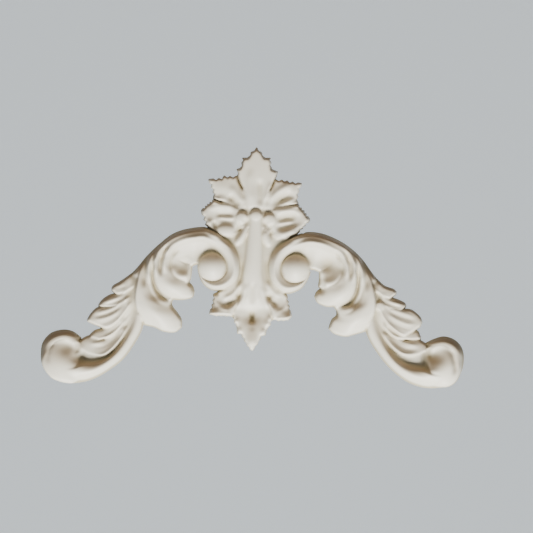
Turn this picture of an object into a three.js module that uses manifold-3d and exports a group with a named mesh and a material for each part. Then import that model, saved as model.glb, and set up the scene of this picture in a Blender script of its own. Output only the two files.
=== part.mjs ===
import * as THREE from 'three';
import Module from 'manifold-3d';

const wasm = await Module();
wasm.setup();

// Moulding corner: one solid casting, flat at the back, carved at the front.
// Millimetres. X to the right, Z up, the carved front faces -Y, the flat back is the plane y = 0.
// The origin lies on the stem, midway between the two volutes.
// Every carved form is a strip between two rails drawn on the back plane. A net of heights over the
// strip, rows along the rails and columns across, gives the distance of its front from the back.
// The rails are a drawing that is stretched to the overall width and height; heights and radii are
// sizes of their own.

// Overall sizes: across both arms, from the end curls' foot to the tip of the palmette, and from the
// flat back to the top of an eye.
const WIDTH = 261.9;
const HEIGHT = 147.5;
const DEPTH = 16.4;

// Driving heights of the relief, measured from the back plane.
const FLOOR = 6.2;
const EDGE = 5.2;
const LEAF = 7.4;
const BLADE = 8.4;
const LIP = 10.8;
const STEM = 12.6;
const CREST = 15.4;
const KNOB = 15;
const BULB = 15.2;

// The eye of a volute stands in the scroll, the bulb in the end curl, the knob on the neck.
// The scroll runs on just inside the edge of its eye, from one angle to another in degrees.
const EYE_RADIUS = 9.2;
const EYE_FOOT = 9;
const EYE_OVERLAP = 0.8;
const TURN_FROM = 10;
const TURN_TO = 330;
const TURN_STEPS = 11;
const BULB_RADIUS = [9.2, 8.8];
const BULB_FOOT = 8;
const KNOB_RADIUS = [3.1, 3.7];
const KNOB_FOOT = 9;
const DOME_SIDES = 18;
const DOME_RINGS = 4;

// How far each form is carried behind the back plane before it is cut flat.
const BEHIND = 1;

const IVORY = 0xe6e1d6;
const SATIN = 0.5;

// A rail through its points, smooth or with a corner at every point, as count + 1 places.
function rail(points, count, corners) {
  const places = points.map(([x, z]) => new THREE.Vector2(x, z));
  if (corners) {
    return places;
  }
  return new THREE.SplineCurve(places).getSpacedPoints(count);
}

// Height of the net at u along the rails and v across them.
function heightAt(net, u, v) {
  const rows = net.length - 1;
  const columns = net[0].length - 1;
  const i = Math.min(Math.floor(u * rows), rows - 1);
  const j = Math.min(Math.floor(v * columns), columns - 1);
  const s = u * rows - i;
  const t = v * columns - j;
  const near = THREE.MathUtils.lerp(net[i][j], net[i][j + 1], t);
  const far = THREE.MathUtils.lerp(net[i + 1][j], net[i + 1][j + 1], t);
  return THREE.MathUtils.lerp(near, far, s);
}

// The closed body under a grid of front points: front, two sides, two ends and a foot.
function bodyUnder(grid) {
  const rows = grid.length;
  const columns = grid[0].length;
  const front = grid.flat();
  const foot = front.map((p) => new THREE.Vector3(p.x, BEHIND, p.z));
  const at = (i, j) => i * columns + j;
  const under = (i, j) => at(i, j) + front.length;
  let area = 0;
  const faces = [];
  const quad = (a, b, c, d) => faces.push([a, b, c], [a, c, d]);
  for (let i = 0; i < rows - 1; i += 1) {
    for (let j = 0; j < columns - 1; j += 1) {
      const p = grid[i][j];
      const q = grid[i + 1][j + 1];
      const r = grid[i + 1][j];
      const s = grid[i][j + 1];
      area += (q.x - p.x) * (s.z - r.z) - (q.z - p.z) * (s.x - r.x);
      quad(at(i, j), at(i + 1, j), at(i + 1, j + 1), at(i, j + 1));
      quad(under(i, j), under(i, j + 1), under(i + 1, j + 1), under(i + 1, j));
    }
  }
  for (let i = 0; i < rows - 1; i += 1) {
    quad(at(i, 0), under(i, 0), under(i + 1, 0), at(i + 1, 0));
    quad(at(i + 1, columns - 1), under(i + 1, columns - 1), under(i, columns - 1), at(i, columns - 1));
  }
  for (let j = 0; j < columns - 1; j += 1) {
    quad(at(0, j + 1), under(0, j + 1), under(0, j), at(0, j));
    quad(at(rows - 1, j), under(rows - 1, j), under(rows - 1, j + 1), at(rows - 1, j + 1));
  }
  return solid([...front, ...foot], faces, area < 0);
}

// A solid from points and faces, turned inside out when asked.
function solid(points, faces, turned) {
  const order = turned ? (f) => [f[0], f[2], f[1]] : (f) => f;
  return new wasm.Manifold(new wasm.Mesh({
    numProp: 3,
    vertProperties: new Float32Array(points.flatMap((p) => [p.x, p.y, p.z])),
    triVerts: new Uint32Array(faces.flatMap(order)),
  }));
}

// One carved form between rails a and b. An end curve bows the far end of the strip outwards.
function form({ a, b, net, along = 6, across, end, corners = false }) {
  const first = rail(a, along, corners);
  const second = rail(b, along, corners);
  const rows = first.length - 1;
  const columns = across ?? net[0].length - 1;
  const cap = end ? rail(end, columns) : null;
  const grid = first.map((p, i) => {
    const u = i / rows;
    const q = second[i];
    return Array.from({ length: columns + 1 }, (_, j) => {
      const v = j / columns;
      const place = p.clone().lerp(q, v);
      if (cap) {
        const chord = first[rows].clone().lerp(second[rows], v);
        place.addScaledVector(cap[j].clone().sub(chord), u * u);
      }
      return new THREE.Vector3(place.x, -heightAt(net, u, v), place.y);
    });
  });
  return bodyUnder(grid);
}

// A dome over an oval foot, its rings closing in on the top.
function dome([x, z], [rx, rz], foot, top) {
  const rings = [new THREE.Vector2(1, -BEHIND)];
  for (let k = 0; k < DOME_RINGS; k += 1) {
    const tilt = (Math.PI / 2) * (k / DOME_RINGS);
    rings.push(new THREE.Vector2(Math.cos(tilt), THREE.MathUtils.lerp(foot, top, Math.sin(tilt))));
  }
  const points = rings.flatMap((ring) => Array.from({ length: DOME_SIDES }, (_, i) => {
    const angle = (2 * Math.PI * i) / DOME_SIDES;
    const across = rx * ring.x * Math.cos(angle);
    const up = rz * ring.x * Math.sin(angle);
    return new THREE.Vector3(x + across, -ring.y, z + up);
  }));
  const back = points.push(new THREE.Vector3(x, BEHIND, z)) - 1;
  const front = points.push(new THREE.Vector3(x, -top, z)) - 1;
  const last = (rings.length - 1) * DOME_SIDES;
  const faces = [];
  for (let i = 0; i < DOME_SIDES; i += 1) {
    const n = (i + 1) % DOME_SIDES;
    faces.push([back, n, i], [front, last + i, last + n]);
    for (let low = 0; low < last; low += DOME_SIDES) {
      const high = low + DOME_SIDES;
      faces.push([low + i, low + n, high + n], [low + i, high + n, high + i]);
    }
  }
  return solid(points, faces, false);
}

// Flat floor between forms.
const floorNet = [[FLOOR, FLOOR], [FLOOR, FLOOR]];

// Blade of the palmette or pendant leaf: two swellings with a hollow along the midrib, thin at the tip.
function bladeNet(hollow, low = BLADE, high = BLADE) {
  return [
    [LEAF, low, BLADE - hollow / 2, high, LEAF],
    [LEAF, low, BLADE - hollow, high, LEAF],
    [LEAF - 1, low - 1, LEAF - hollow / 2, high - 1, LEAF - 1],
    [EDGE, EDGE + 1, EDGE + 1, EDGE + 1, EDGE],
  ];
}

// Finger of the outer leaf: low along its upper edge, rising to a lip along its lower edge.
function fingerNet(lip, trough = LEAF) {
  return [
    [LEAF, trough + 1, lip - 1.6, lip],
    [EDGE + 0.8, trough - 0.8, lip - 1.4, lip],
    [EDGE, trough - 1.2, lip - 2.2, lip - 1.4],
    [EDGE, EDGE, EDGE + 1, EDGE + 1.4],
  ];
}

// Small curl under the knob.
const curlNet = [[9, 12.6, 12], [9.4, 14.4, 11.6], [9, 14, 11.4], [BLADE, 12, 10]];

// Blade folded down beside the neck.
const foldNet = [[9, 10, 9], [8, LIP, 9], [6.6, 9.4, 7]];

// Central forms, drawn in X and Z.
const centreForms = [
  // Plate behind the stem, the hollows on both sides of it.
  {
    a: [[-19, 24], [-19, 14], [-14, 0], [-17, -11], [-23, -16]],
    b: [[23, 21], [17, 12], [12, 0], [15, -12], [19.5, -17]],
    net: floorNet,
    along: 4,
  },
  // Plate behind the heart of the palmette.
  {
    a: [[-17, 24], [-24, 30], [-21, 40], [-9, 49]],
    b: [[16, 23], [23, 29], [21, 38.6], [9, 48]],
    net: floorNet,
    along: 4,
  },
  // Stem, flaring into the pendant leaf.
  {
    a: [[-5.5, 28], [-6.5, 19], [-7.3, 8], [-7.8, -2], [-8.4, -11], [-11, -20], [-12.5, -26]],
    b: [[4.5, 28], [4.2, 19], [4.6, 8], [5.4, -2], [7.2, -11], [9.5, -20], [11, -26]],
    net: [[9, LIP, 12, LIP, 9], [8, 11.4, STEM, 11.4, 8], [8, 11.4, 12.4, 11.4, 8],
      [LEAF, BLADE, 8, BLADE, LEAF]],
    along: 8,
  },
  // Blades folded down on both sides of the neck.
  {
    a: [[-6, 27], [-10, 22], [-14.2, 17.5], [-13.4, 14.6]],
    b: [[-4, 26], [-6.6, 20], [-8.4, 15.6], [-11.6, 13.8]],
    net: foldNet,
    along: 4,
  },
  {
    a: [[6, 26], [8.6, 22], [11, 17.6], [10.2, 14.4]],
    b: [[3, 25], [3.6, 20], [4.6, 16], [7.4, 13.4]],
    net: foldNet,
    along: 4,
  },
  // Neck under the knob, and the two small curls.
  {
    a: [[-9, 30], [-7, 25.5], [-5.8, 21]],
    b: [[7.4, 30], [5.6, 25.5], [4.4, 21]],
    net: [[11, 12.4, STEM, 12.4, 11], [10, 12.4, STEM, 12.4, 10], [9, 11.8, STEM, 11.8, 9]],
    along: 3,
  },
  {
    a: [[-3.6, 31.6], [-5.4, 34.6], [-9, 35.4], [-12.2, 33.6], [-13, 30.2], [-11.6, 27.2], [-9, 26]],
    b: [[-5.4, 29.4], [-6.6, 30.4], [-7.6, 30.6], [-8.2, 30], [-8.2, 29.2], [-7.8, 28.6], [-7.2, 28.2]],
    net: curlNet,
    along: 9,
    across: 4,
  },
  {
    a: [[2, 30.8], [3.8, 33.8], [7.2, 34.7], [10.4, 33.2], [11.5, 29.8], [10.6, 26.8], [8, 25.3]],
    b: [[3.8, 28.6], [5, 29.6], [6, 29.8], [6.7, 29.2], [6.8, 28.4], [6.4, 27.8], [5.8, 27.4]],
    net: curlNet,
    along: 9,
    across: 4,
  },
  // Palmette: the upright lobe.
  {
    a: [[-5, 33], [-7.5, 46], [-10.2, 52], [-11.8, 56.5], [-12.4, 61], [-10.4, 61.7], [-9.5, 64.5],
      [-9, 68.2], [-5.6, 68.3], [-4, 71.4], [-0.4, 74.6]],
    b: [[4, 33], [8.6, 47], [11.2, 53.5], [12.6, 57], [13.6, 60.9], [9.1, 61.2], [9.3, 65.1],
      [8.9, 68.5], [5.2, 68.4], [4.2, 70.6], [0.4, 74.6]],
    net: bladeNet(0.4),
    corners: true,
  },
  // Palmette: the two upper side lobes.
  {
    a: [[-3, 38], [-6.5, 46.5], [-10.6, 53.4], [-11.8, 57], [-15.6, 56.8], [-20.4, 57], [-21.8, 55.6],
      [-29.3, 54.7]],
    b: [[-8, 34], [-13, 38], [-19, 39.6], [-23.4, 41], [-26.4, 42], [-26.9, 46.6], [-28.1, 50],
      [-29.7, 53.9]],
    net: bladeNet(0.8),
    corners: true,
  },
  {
    a: [[3, 38], [7.6, 46.6], [10.4, 52.6], [11.4, 55.1], [16.8, 55.1], [21, 54.2], [28.2, 53.2]],
    b: [[8, 34], [13, 38], [20, 38.2], [26.5, 39.6], [26.3, 44.4], [26.8, 47.8], [28.4, 52.2]],
    net: bladeNet(1.8),
    corners: true,
  },
  // Palmette: the two lower side lobes, lying over the arches.
  {
    a: [[-8, 36], [-14, 39], [-20.4, 40.6], [-26.4, 42.1], [-30.7, 38.9], [-33.8, 35.4]],
    b: [[-9, 24], [-14, 18.8], [-20, 18.4], [-26.4, 22.6], [-31.2, 26.2], [-33.9, 34.4]],
    net: bladeNet(0.6, 9.2, LIP),
    corners: true,
  },
  {
    a: [[8, 36], [15, 38.4], [20.5, 39.6], [26.4, 40.1], [30.2, 36.2], [33.8, 31.2]],
    b: [[8, 23], [13, 17.6], [19, 17.8], [25.6, 20.8], [30.4, 25.6], [33.9, 30.2]],
    net: bladeNet(2, 9.2, LIP),
    corners: true,
  },
  // Pendant leaf: the hanging lobe.
  {
    a: [[-11, -20], [-13, -26], [-13.2, -30.4], [-12, -34.4], [-10.6, -36.6], [-10.2, -40.6], [-7.8, -41.4],
      [-5.2, -46.2], [-2.9, -49.7], [-1.1, -51]],
    b: [[9.4, -20], [11.6, -26], [11.6, -31.6], [10.4, -35.8], [8.3, -37.8], [7.6, -41.2], [5.1, -42.4],
      [3.7, -45.6], [1.6, -48.8], [-0.1, -51]],
    net: [[BLADE, BLADE, 8, BLADE, BLADE], [8.8, 6.8, FLOOR, 6.8, 8.8], [LEAF, 8.2, 8, 8.2, LEAF],
      [6, 8.2, BLADE, 8.2, 6], [EDGE, 6.4, 6.6, 6.4, EDGE]],
    corners: true,
  },
  // Pendant leaf: the two side lobes.
  {
    a: [[-8, -7], [-15, -11.4], [-21.4, -14.2], [-25.5, -16.4], [-25.9, -21.4], [-27.5, -27.2]],
    b: [[-6, -18], [-10, -25], [-13.4, -30.5], [-19.4, -30.1], [-24, -30.3], [-27.7, -28.9]],
    net: bladeNet(2, 9, 9.6),
    corners: true,
  },
  {
    a: [[8, -7], [13.5, -11.4], [18, -14], [20.7, -16.6], [21.9, -21.4], [23.2, -27.4]],
    b: [[6, -18], [9, -25], [11.6, -31.9], [15, -32.6], [21.2, -32.3], [23.8, -29.4]],
    net: bladeNet(2, 9, 9.6),
    corners: true,
  },
];

// One arm, drawn with X running outwards. Each rail has its own course on the left and right arm.
const armForms = [
  // Scroll: the arch over the bay, turning down and round the eye.
  {
    a: [
      [[77.4, -5.8], [72.5, -0.6], [68.2, 4.9], [64, 9.5], [59, 14.2], [52.4, 19.6], [45.1, 22.9],
        [36.2, 24.7], [30, 24.7], [24, 22], [18.5, 18.3], [13.6, 14], [10.2, 8.6], [8.8, 3], [8.7, -2.5], [10.4, -7.5],
        [14, -11.5], [18.5, -14], [24.5, -14.5], [30, -12.1], [33.5, -7.6], [35.4, -1]],
      [[77.4, -7], [72.6, -1.4], [67.9, 5.1], [63, 10.4], [56.6, 15.4], [50, 19], [43.5, 21.6], [37.1, 22.9],
        [30.8, 22.7], [24.5, 20.4], [18.5, 17], [13.5, 13], [9.9, 8.4], [8.3, 3], [8.5, -3], [10.2, -8.2],
        [13.4, -12.6], [17.5, -15.4], [22.5, -15.4], [29, -12.3], [32.9, -7], [35, -1.4]],
    ],
    b: [
      [[62, -14], [60, -6], [54, -3], [48, 2], [43, 2], [39, 0.4], [37, 1.2], [35.4, 1.6]],
      [[63, -15], [61, -7], [55, -3], [50, 2], [44, -1], [40, -1.6], [37, -0.7], [35.2, -0.6]],
    ],
    net: [
      [EDGE, 8.2, 9, 9, 7],
      [EDGE, 11, 11.4, 10.4, 8],
      [EDGE, 12.6, CREST, 12.4, 9],
      [6, 12.8, CREST, 12.4, 9],
      [7, 12.4, 14.6, 12, 9],
      [7, 12, 14.2, 12, 9],
      [6, 11.6, 13.6, 12, 10],
      [6, 10.4, 12, 12.2, 12],
    ],
    along: 28,
    roundEye: true,
  },
  // Floor under the head of the bay.
  {
    a: [
      [[50, 8], [43, 3], [39.4, 0], [39.2, -5], [40.4, -10], [46, -16], [52, -23]],
      [[50, 8], [43, 1], [40.2, -2], [40.2, -7], [40.4, -12], [45, -18], [51.4, -26]],
    ],
    b: [
      [[64, 6], [65, 0], [66, -6], [66, -12], [64, -17], [61, -21], [56, -25]],
      [[64, 6], [65, 0], [66, -6], [66, -12], [65, -18], [62, -23], [56, -28]],
    ],
    net: floorNet,
    along: 8,
  },
  // Small cup at the head of the bay, its lip bowed round the hollow.
  {
    a: [
      [[38.6, 2], [38.7, -3], [40, -8.2], [45, -8], [49.2, -5.4], [51.4, -1], [51, 4]],
      [[39.8, 0], [39.9, -6], [40, -11.6], [46.4, -10.6], [51.6, -7.4], [54.6, -2], [54.4, 4]],
    ],
    b: [
      [[43, 3], [43, 1], [43.4, -0.4], [44.4, -0.6], [45.4, 0.4], [45.6, 2], [45.4, 4]],
      [[43.6, 3], [43.4, -1.6], [43.6, -5], [45.6, -4.4], [47.6, -2.4], [49, 0.4], [49, 4]],
    ],
    net: [[6, 8, 7], [7, 10.2, 7], [8, LIP, 7], [9.6, LIP, LEAF], [11, LIP, 8]],
    along: 7,
    across: 4,
  },
  // First lobe of the inner leaf.
  {
    a: [
      [[47, 12], [50.6, 4], [50.4, -2], [47.6, -6], [42, -8.2], [38.2, -11.4], [36.8, -15]],
      [[48, 12], [52, 4], [53, -2], [50, -7.4], [43.4, -10.6], [38.8, -13.4], [37.1, -17]],
    ],
    b: [
      [[58, 10], [61.6, 3], [63, -4], [62, -10], [59, -15.4], [55, -18.8], [51, -20.3]],
      [[58, 10], [62, 3], [63.6, -5], [63, -12], [60.6, -17.6], [57.4, -20.6], [52.4, -21.6]],
    ],
    end: [
      [[36.8, -15], [38, -18.7], [42.5, -20.3], [47, -20.6], [51, -20.3]],
      [[37.1, -17], [39, -20.6], [43, -22.7], [47.6, -23.4], [52.4, -21.6]],
    ],
    net: [
      [12, 12.4, 12.4, 12, 10],
      [10.6, 11.8, 12.8, 12.8, 11],
      [8.8, 11, 12.8, 13, 11.4],
      [6, 9, 10.6, 11, 9],
      [EDGE, 6, 6.4, 6.6, 6.6],
    ],
    along: 8,
  },
  // Recessed fold between the two lobes.
  {
    a: [
      [[60, -14], [55, -18], [50.6, -19.6], [50.5, -24]],
      [[61, -14], [57, -19], [50.4, -21.8], [50.2, -27.6]],
    ],
    b: [
      [[66, -16], [62, -22], [57, -25], [52, -26]],
      [[66, -16], [62, -23], [57, -27.4], [52, -29.4]],
    ],
    net: [[8, 8.6, 8], [6, 7, 7], [EDGE, 6, 6]],
    along: 4,
  },
  // Second lobe of the inner leaf.
  {
    a: [
      [[64, 4], [64.6, -8], [62, -18], [56, -23.6], [51, -25], [46.8, -28.8], [44.5, -32.8], [44.3, -37.4]],
      [[64, 2], [65, -10], [63, -19], [57, -26], [51.4, -28.2], [48.4, -30.6], [47.1, -33.6], [46.3, -36.8]],
    ],
    b: [
      [[68, 4], [72, -7], [73.6, -16], [73.4, -23], [71.6, -29], [70, -32.6], [68.8, -34.6], [67.8, -36.4]],
      [[68, 3], [73, -8], [75.2, -17], [75, -24], [73.4, -30], [71.6, -33.8], [70.2, -36], [69.2, -38.1]],
    ],
    end: [
      [[44.3, -37.4], [48.6, -40.6], [55.6, -40.3], [61.4, -37.8], [67.8, -36.4]],
      [[46.3, -36.8], [50, -39.9], [56.8, -41.5], [62.4, -40.2], [69.2, -38.1]],
    ],
    net: [
      [8, 8.6, 8.4, 9.6, 8.4],
      [9, 10.2, 10, 10.6, 9.4],
      [9, 12, 12, 11.8, 10.6],
      [7, 11, 12, 11.4, 10],
      [EDGE, 6, 6.4, 6.8, 7],
    ],
    along: 9,
  },
  // Stalk under the outer leaf.
  {
    a: [
      [[66, 7], [73, -1.6], [77.6, -7], [82, -15], [86, -24], [91, -32], [95, -37.4]],
      [[66, 6.4], [72.6, -2.4], [77.6, -8.4], [82, -16], [86, -25], [91, -33], [97, -38]],
    ],
    b: [
      [[62, 3], [66, -10], [68, -20], [71, -30], [76, -40], [82, -48], [90, -55]],
      [[62, 1], [66, -12], [69, -22], [72, -31], [76, -40], [82, -48], [89, -52]],
    ],
    net: [
      [EDGE, 8, 8.4, 8],
      [EDGE, 7, 8, 8],
      [5.6, 6.4, 7.4, 7],
      [5.6, 6, 6.4, 6.4],
    ],
    along: 6,
  },
  // Outer leaf, first finger.
  {
    a: [
      [[75, -3.6], [82.7, -9.2], [87, -11.8], [88.4, -13.6]],
      [[75, -4.4], [80.6, -9.3], [86, -11.2], [88.3, -13]],
    ],
    b: [
      [[73, -12], [78, -16], [84.6, -18.1], [88.4, -15.6]],
      [[73, -12], [78, -15.8], [83.8, -17.7], [88.1, -14.8]],
    ],
    net: fingerNet(9.4),
    along: 5,
  },
  // Outer leaf, second finger.
  {
    a: [
      [[77, -13], [82, -16.4], [88.8, -17.6], [93.8, -20.8], [96.4, -24.2]],
      [[77, -13], [82, -15.8], [88, -17.3], [93, -19.5], [94.3, -21.2]],
    ],
    b: [
      [[75.6, -19], [80, -22.8], [87, -25.6], [93, -26.2], [96.4, -25.6]],
      [[75.6, -19], [80, -22.4], [87, -24.6], [91, -25], [94.1, -22.6]],
    ],
    net: fingerNet(9.8),
    along: 5,
  },
  // Outer leaf, third finger.
  {
    a: [
      [[77.6, -20], [83, -23], [90, -25.2], [96.8, -25.8], [100.8, -29.4], [103.2, -33.4]],
      [[77.6, -20], [83, -22.4], [90, -23.4], [97.3, -23.8], [102.9, -28], [104.4, -31.4]],
    ],
    b: [
      [[74.6, -22], [79, -29], [84.5, -35.6], [90.5, -39], [96, -37.8], [103, -34.9]],
      [[75.6, -22], [79.6, -30], [84.6, -35.8], [92, -40.4], [98, -38.4], [103.4, -34.4]],
    ],
    net: fingerNet(11.4),
    along: 7,
  },
  // Outer leaf, fourth finger.
  {
    a: [
      [[81, -31], [86, -36], [92, -38.4], [98, -39.8], [101.6, -43]],
      [[81, -31], [86, -36], [92, -39], [100.8, -36.6], [103.7, -40.6]],
    ],
    b: [
      [[78, -32.4], [82.6, -39], [88, -43.6], [94.6, -46.2], [101.2, -44.8]],
      [[78.6, -33], [82.6, -38.4], [88, -41.8], [96.6, -43.2], [103.7, -42.6]],
    ],
    net: fingerNet(9.4, 6.4),
    along: 6,
  },
  // Outer leaf, fifth finger.
  {
    a: [
      [[80, -36], [86, -42], [92.6, -45.4], [100.8, -43.2], [106.2, -45.4], [107.9, -48]],
      [[80.6, -36.6], [86, -41], [92.6, -42.6], [101.6, -42.2], [106.6, -44.5], [107.8, -47]],
    ],
    b: [
      [[77, -37], [80.6, -45], [86, -51.6], [92, -56], [100, -55.3], [107, -52.4]],
      [[78, -38], [82.6, -45], [87.6, -50.2], [94.4, -52.8], [101, -52.3], [107.2, -49.8]],
    ],
    net: fingerNet(9.6),
    along: 7,
  },
  // Lower stem, sweeping out to the end curl and back over the top of it.
  {
    a: [
      [[67.4, -31], [69.2, -39.6], [74, -48.9], [80.3, -57.7], [88, -64.1], [96.2, -69.2], [104.4, -72.2],
        [112.4, -72.9], [120, -71.4], [126.7, -66.9], [130.5, -60.1], [131.4, -53], [129.9, -47.2],
        [125.2, -42.1], [118.4, -40.1], [112, -41], [106.6, -44.8]],
      [[68.4, -33], [70.7, -41.3], [76, -50.1], [82.3, -58.1], [89.5, -64.7], [96.9, -69.4], [105, -72],
        [112.2, -72.4], [119.8, -70.7], [125.9, -66.4], [129.6, -60.4], [130.5, -53], [128.9, -46.6],
        [124.6, -42.1], [118.5, -40.2], [112.4, -41.6], [106.4, -44.6]],
    ],
    b: [
      [[74, -26], [77, -36], [82, -45], [87.6, -52.6], [94, -57], [100, -58.6], [106, -59], [111, -61],
        [116, -61.4], [120.6, -59.6], [123.4, -56.4], [124, -53], [122.6, -49.6], [119.6, -47.4],
        [116, -46.8], [112, -47.6], [108, -50]],
      [[75, -27], [79, -37], [84, -46], [88.8, -52.4], [95, -56.4], [101, -58.2], [106, -59], [111, -61],
        [116, -61.4], [120.6, -59.6], [122.6, -56.4], [122.8, -53], [121.6, -49.6], [119, -47],
        [115.6, -46.4], [111.6, -47.4], [108, -50]],
    ],
    net: [
      [7, 9, 9.6, 9, 8],
      [6, 9.6, 10.4, 9, 7],
      [6, 10.6, 12, 10.4, 7],
      [6.4, 11.4, 13.2, 13, 12],
      [6.4, 11, 12.6, 12, 10],
      [6, 10.4, 11.8, 10.4, 6.6],
      [EDGE, 9.6, 11, 9.4, 6.6],
      [EDGE, 8.6, 9.8, 8.6, 6.4],
    ],
    along: 24,
  },
  // Floor under the fingers and the hollow of the curl.
  {
    a: [
      [[80, -44], [92, -50], [102, -48], [109, -46], [116, -44], [124, -47]],
      [[80, -44], [92, -48], [102, -47], [109, -46], [116, -44], [124, -47]],
    ],
    b: [
      [[84, -52], [94, -60], [102, -63], [110, -63], [118, -62], [125, -56]],
      [[85, -52], [94, -60], [102, -63], [110, -63], [118, -62], [125, -56]],
    ],
    net: floorNet,
    along: 5,
  },
];

// Places of the eyes and bulbs, outwards and up, and of the knob.
const eyes = [[26, 0.3], [25, 0]];
const bulbs = [[115.2, -58], [115, -57.6]];
const knob = [-1.2, 32.6];

// The left arm is side 0 and runs towards -X, the right arm is side 1.
const outwards = [-1, 1];

// The box of the drawing, and how far it is stretched to the overall width and height.
const drawing = new THREE.Box2();
function spread(points, sign) {
  points.forEach(([x, z]) => drawing.expandByPoint(new THREE.Vector2(sign * x, z)));
}
centreForms.forEach((f) => spread([...f.a, ...f.b], 1));
outwards.forEach((sign, side) => armForms.forEach((f) => spread([...f.a[side], ...f.b[side]], sign)));
const drawn = drawing.getSize(new THREE.Vector2());

function place([x, z], sign = 1) {
  return [(sign * x * WIDTH) / drawn.x, (z * HEIGHT) / drawn.y];
}

// Points of the scroll round an eye.
function turn([x, z], sign) {
  const radius = EYE_RADIUS - EYE_OVERLAP;
  return Array.from({ length: TURN_STEPS + 1 }, (_, i) => {
    const angle = THREE.MathUtils.degToRad(THREE.MathUtils.lerp(TURN_FROM, TURN_TO, i / TURN_STEPS));
    return [x + sign * radius * Math.cos(angle), z + radius * Math.sin(angle)];
  });
}

function centre() {
  const strips = centreForms.map((f) => form({
    ...f,
    a: f.a.map((p) => place(p)),
    b: f.b.map((p) => place(p)),
  }));
  return [...strips, dome(place(knob), KNOB_RADIUS, KNOB_FOOT, KNOB)];
}

function arm(side) {
  const sign = outwards[side];
  const course = (points) => points.map((p) => place(p, sign));
  const eye = place(eyes[side], sign);
  const bulb = place(bulbs[side], sign);
  const strips = armForms.map((f) => form({
    ...f,
    a: course(f.a[side]),
    b: [...course(f.b[side]), ...(f.roundEye ? turn(eye, sign) : [])],
    end: f.end ? course(f.end[side]) : null,
  }));
  const eyeDome = dome(eye, [EYE_RADIUS, EYE_RADIUS], EYE_FOOT, DEPTH);
  const bulbDome = dome(bulb, BULB_RADIUS, BULB_FOOT, BULB);
  return [...strips, eyeDome, bulbDome];
}

// Everything is one casting: the forms joined, then cut flat along the back plane.
const forms = [...centre(), ...arm(0), ...arm(1)];
const joined = forms.reduce((sum, piece) => sum.add(piece));
const casting = joined.trimByPlane([0, -1, 0], 0).getMesh();
const geometry = new THREE.BufferGeometry();
geometry.setAttribute('position', new THREE.BufferAttribute(casting.vertProperties, 3));
geometry.setIndex(new THREE.BufferAttribute(casting.triVerts, 1));
geometry.computeVertexNormals();

const corner = new THREE.Mesh(
  geometry, new THREE.MeshStandardMaterial({ color: IVORY, roughness: SATIN, metalness: 0 }));
corner.name = 'moulding_corner';

const root = new THREE.Group();
root.name = 'moulding_corner_root';
root.add(corner);

export default root;
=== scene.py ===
"""Moulding corner: a one-piece ivory casting of an acanthus spray, flat behind and carved in front."""

import math

import bpy
import numpy as np
from mathutils import Matrix, Vector
from mathutils.geometry import tessellate_polygon


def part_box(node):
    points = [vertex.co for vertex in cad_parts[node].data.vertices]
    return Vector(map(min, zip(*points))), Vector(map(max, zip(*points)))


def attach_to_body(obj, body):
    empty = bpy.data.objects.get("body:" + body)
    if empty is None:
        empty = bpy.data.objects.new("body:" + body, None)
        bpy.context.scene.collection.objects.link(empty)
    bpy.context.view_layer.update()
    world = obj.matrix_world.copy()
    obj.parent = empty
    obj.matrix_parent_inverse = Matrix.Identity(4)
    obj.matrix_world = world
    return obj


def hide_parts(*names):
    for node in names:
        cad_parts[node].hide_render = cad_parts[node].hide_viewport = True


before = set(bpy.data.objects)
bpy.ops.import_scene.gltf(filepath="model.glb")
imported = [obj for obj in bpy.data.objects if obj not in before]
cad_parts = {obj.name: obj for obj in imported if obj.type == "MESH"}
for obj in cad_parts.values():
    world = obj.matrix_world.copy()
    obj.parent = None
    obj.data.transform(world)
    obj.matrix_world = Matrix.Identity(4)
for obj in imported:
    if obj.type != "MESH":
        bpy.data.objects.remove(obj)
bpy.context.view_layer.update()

# The blank. The whole ornament is one casting from one mould, so it is one relief over a flat back, on
# a fine grid in millimetres with the middle of the stem at the origin: front is the height of each
# place above the back, and reach is how far the place lies inside the outline.
MM = 0.001
CELL = 0.42
MARGIN = 3
OUTSIDE = -9.0
EDGE = 5.2
LEAF = 7.4
OUTWARD = (-1, 1)
BATCH = 4000

low, high = (np.array(corner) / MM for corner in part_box("moulding_corner"))
DEPTH = -low[1]
grid_x = np.arange(low[0] - MARGIN, high[0] + MARGIN, CELL)
grid_z = np.arange(low[2] - MARGIN, high[2] + MARGIN, CELL)
places_x, places_z = np.meshgrid(grid_x, grid_z)
front = np.full(places_x.shape, EDGE)
reach = np.full(places_x.shape, OUTSIDE)


def cubic(p, q, r, w, s):
    """Catmull-Rom cubic from q to r at s from 0 to 1, with p before them and w after them."""
    return q + 0.5 * ((r - p) * s + (2 * p - 5 * q + 4 * r - w) * s**2 + (3 * q - p - 3 * r + w) * s**3)


def between_rows(rows, t):
    """Catmull-Rom cubic through the rows at t from 0 to 1: each row pulls on the stretch beside it."""
    rows = np.asarray(rows, float)
    last = len(rows) - 1
    padded = np.concatenate([2 * rows[:1] - rows[1:2], rows, 2 * rows[-1:] - rows[-2:-1]])
    at = np.clip(t, 0, 1) * last
    i = np.minimum(at.astype(int), last - 1)
    s = (at - i).reshape((-1,) + (1,) * (rows.ndim - 1))
    return cubic(padded[i], padded[i + 1], padded[i + 2], padded[i + 3], s)


def course(points, count=96, cornered=False):
    """count + 1 places along a line through the points.

    A cornered course goes straight from point to point and gives every stretch the same share of
    places. A smooth one is the cubic through the points, cut at equal distances.
    """
    points = np.asarray(points, float)
    t = np.linspace(0, 1, count + 1)
    if cornered:
        knots = np.linspace(0, 1, len(points))
        return np.column_stack([np.interp(t, knots, points[:, k]) for k in (0, 1)])
    line = between_rows(points, np.linspace(0, 1, count * 4 + 1))
    run = np.r_[0, np.cumsum(np.hypot(*np.diff(line, axis=0).T))]
    return np.column_stack([np.interp(t * run[-1], run, line[:, k]) for k in (0, 1)])


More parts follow.
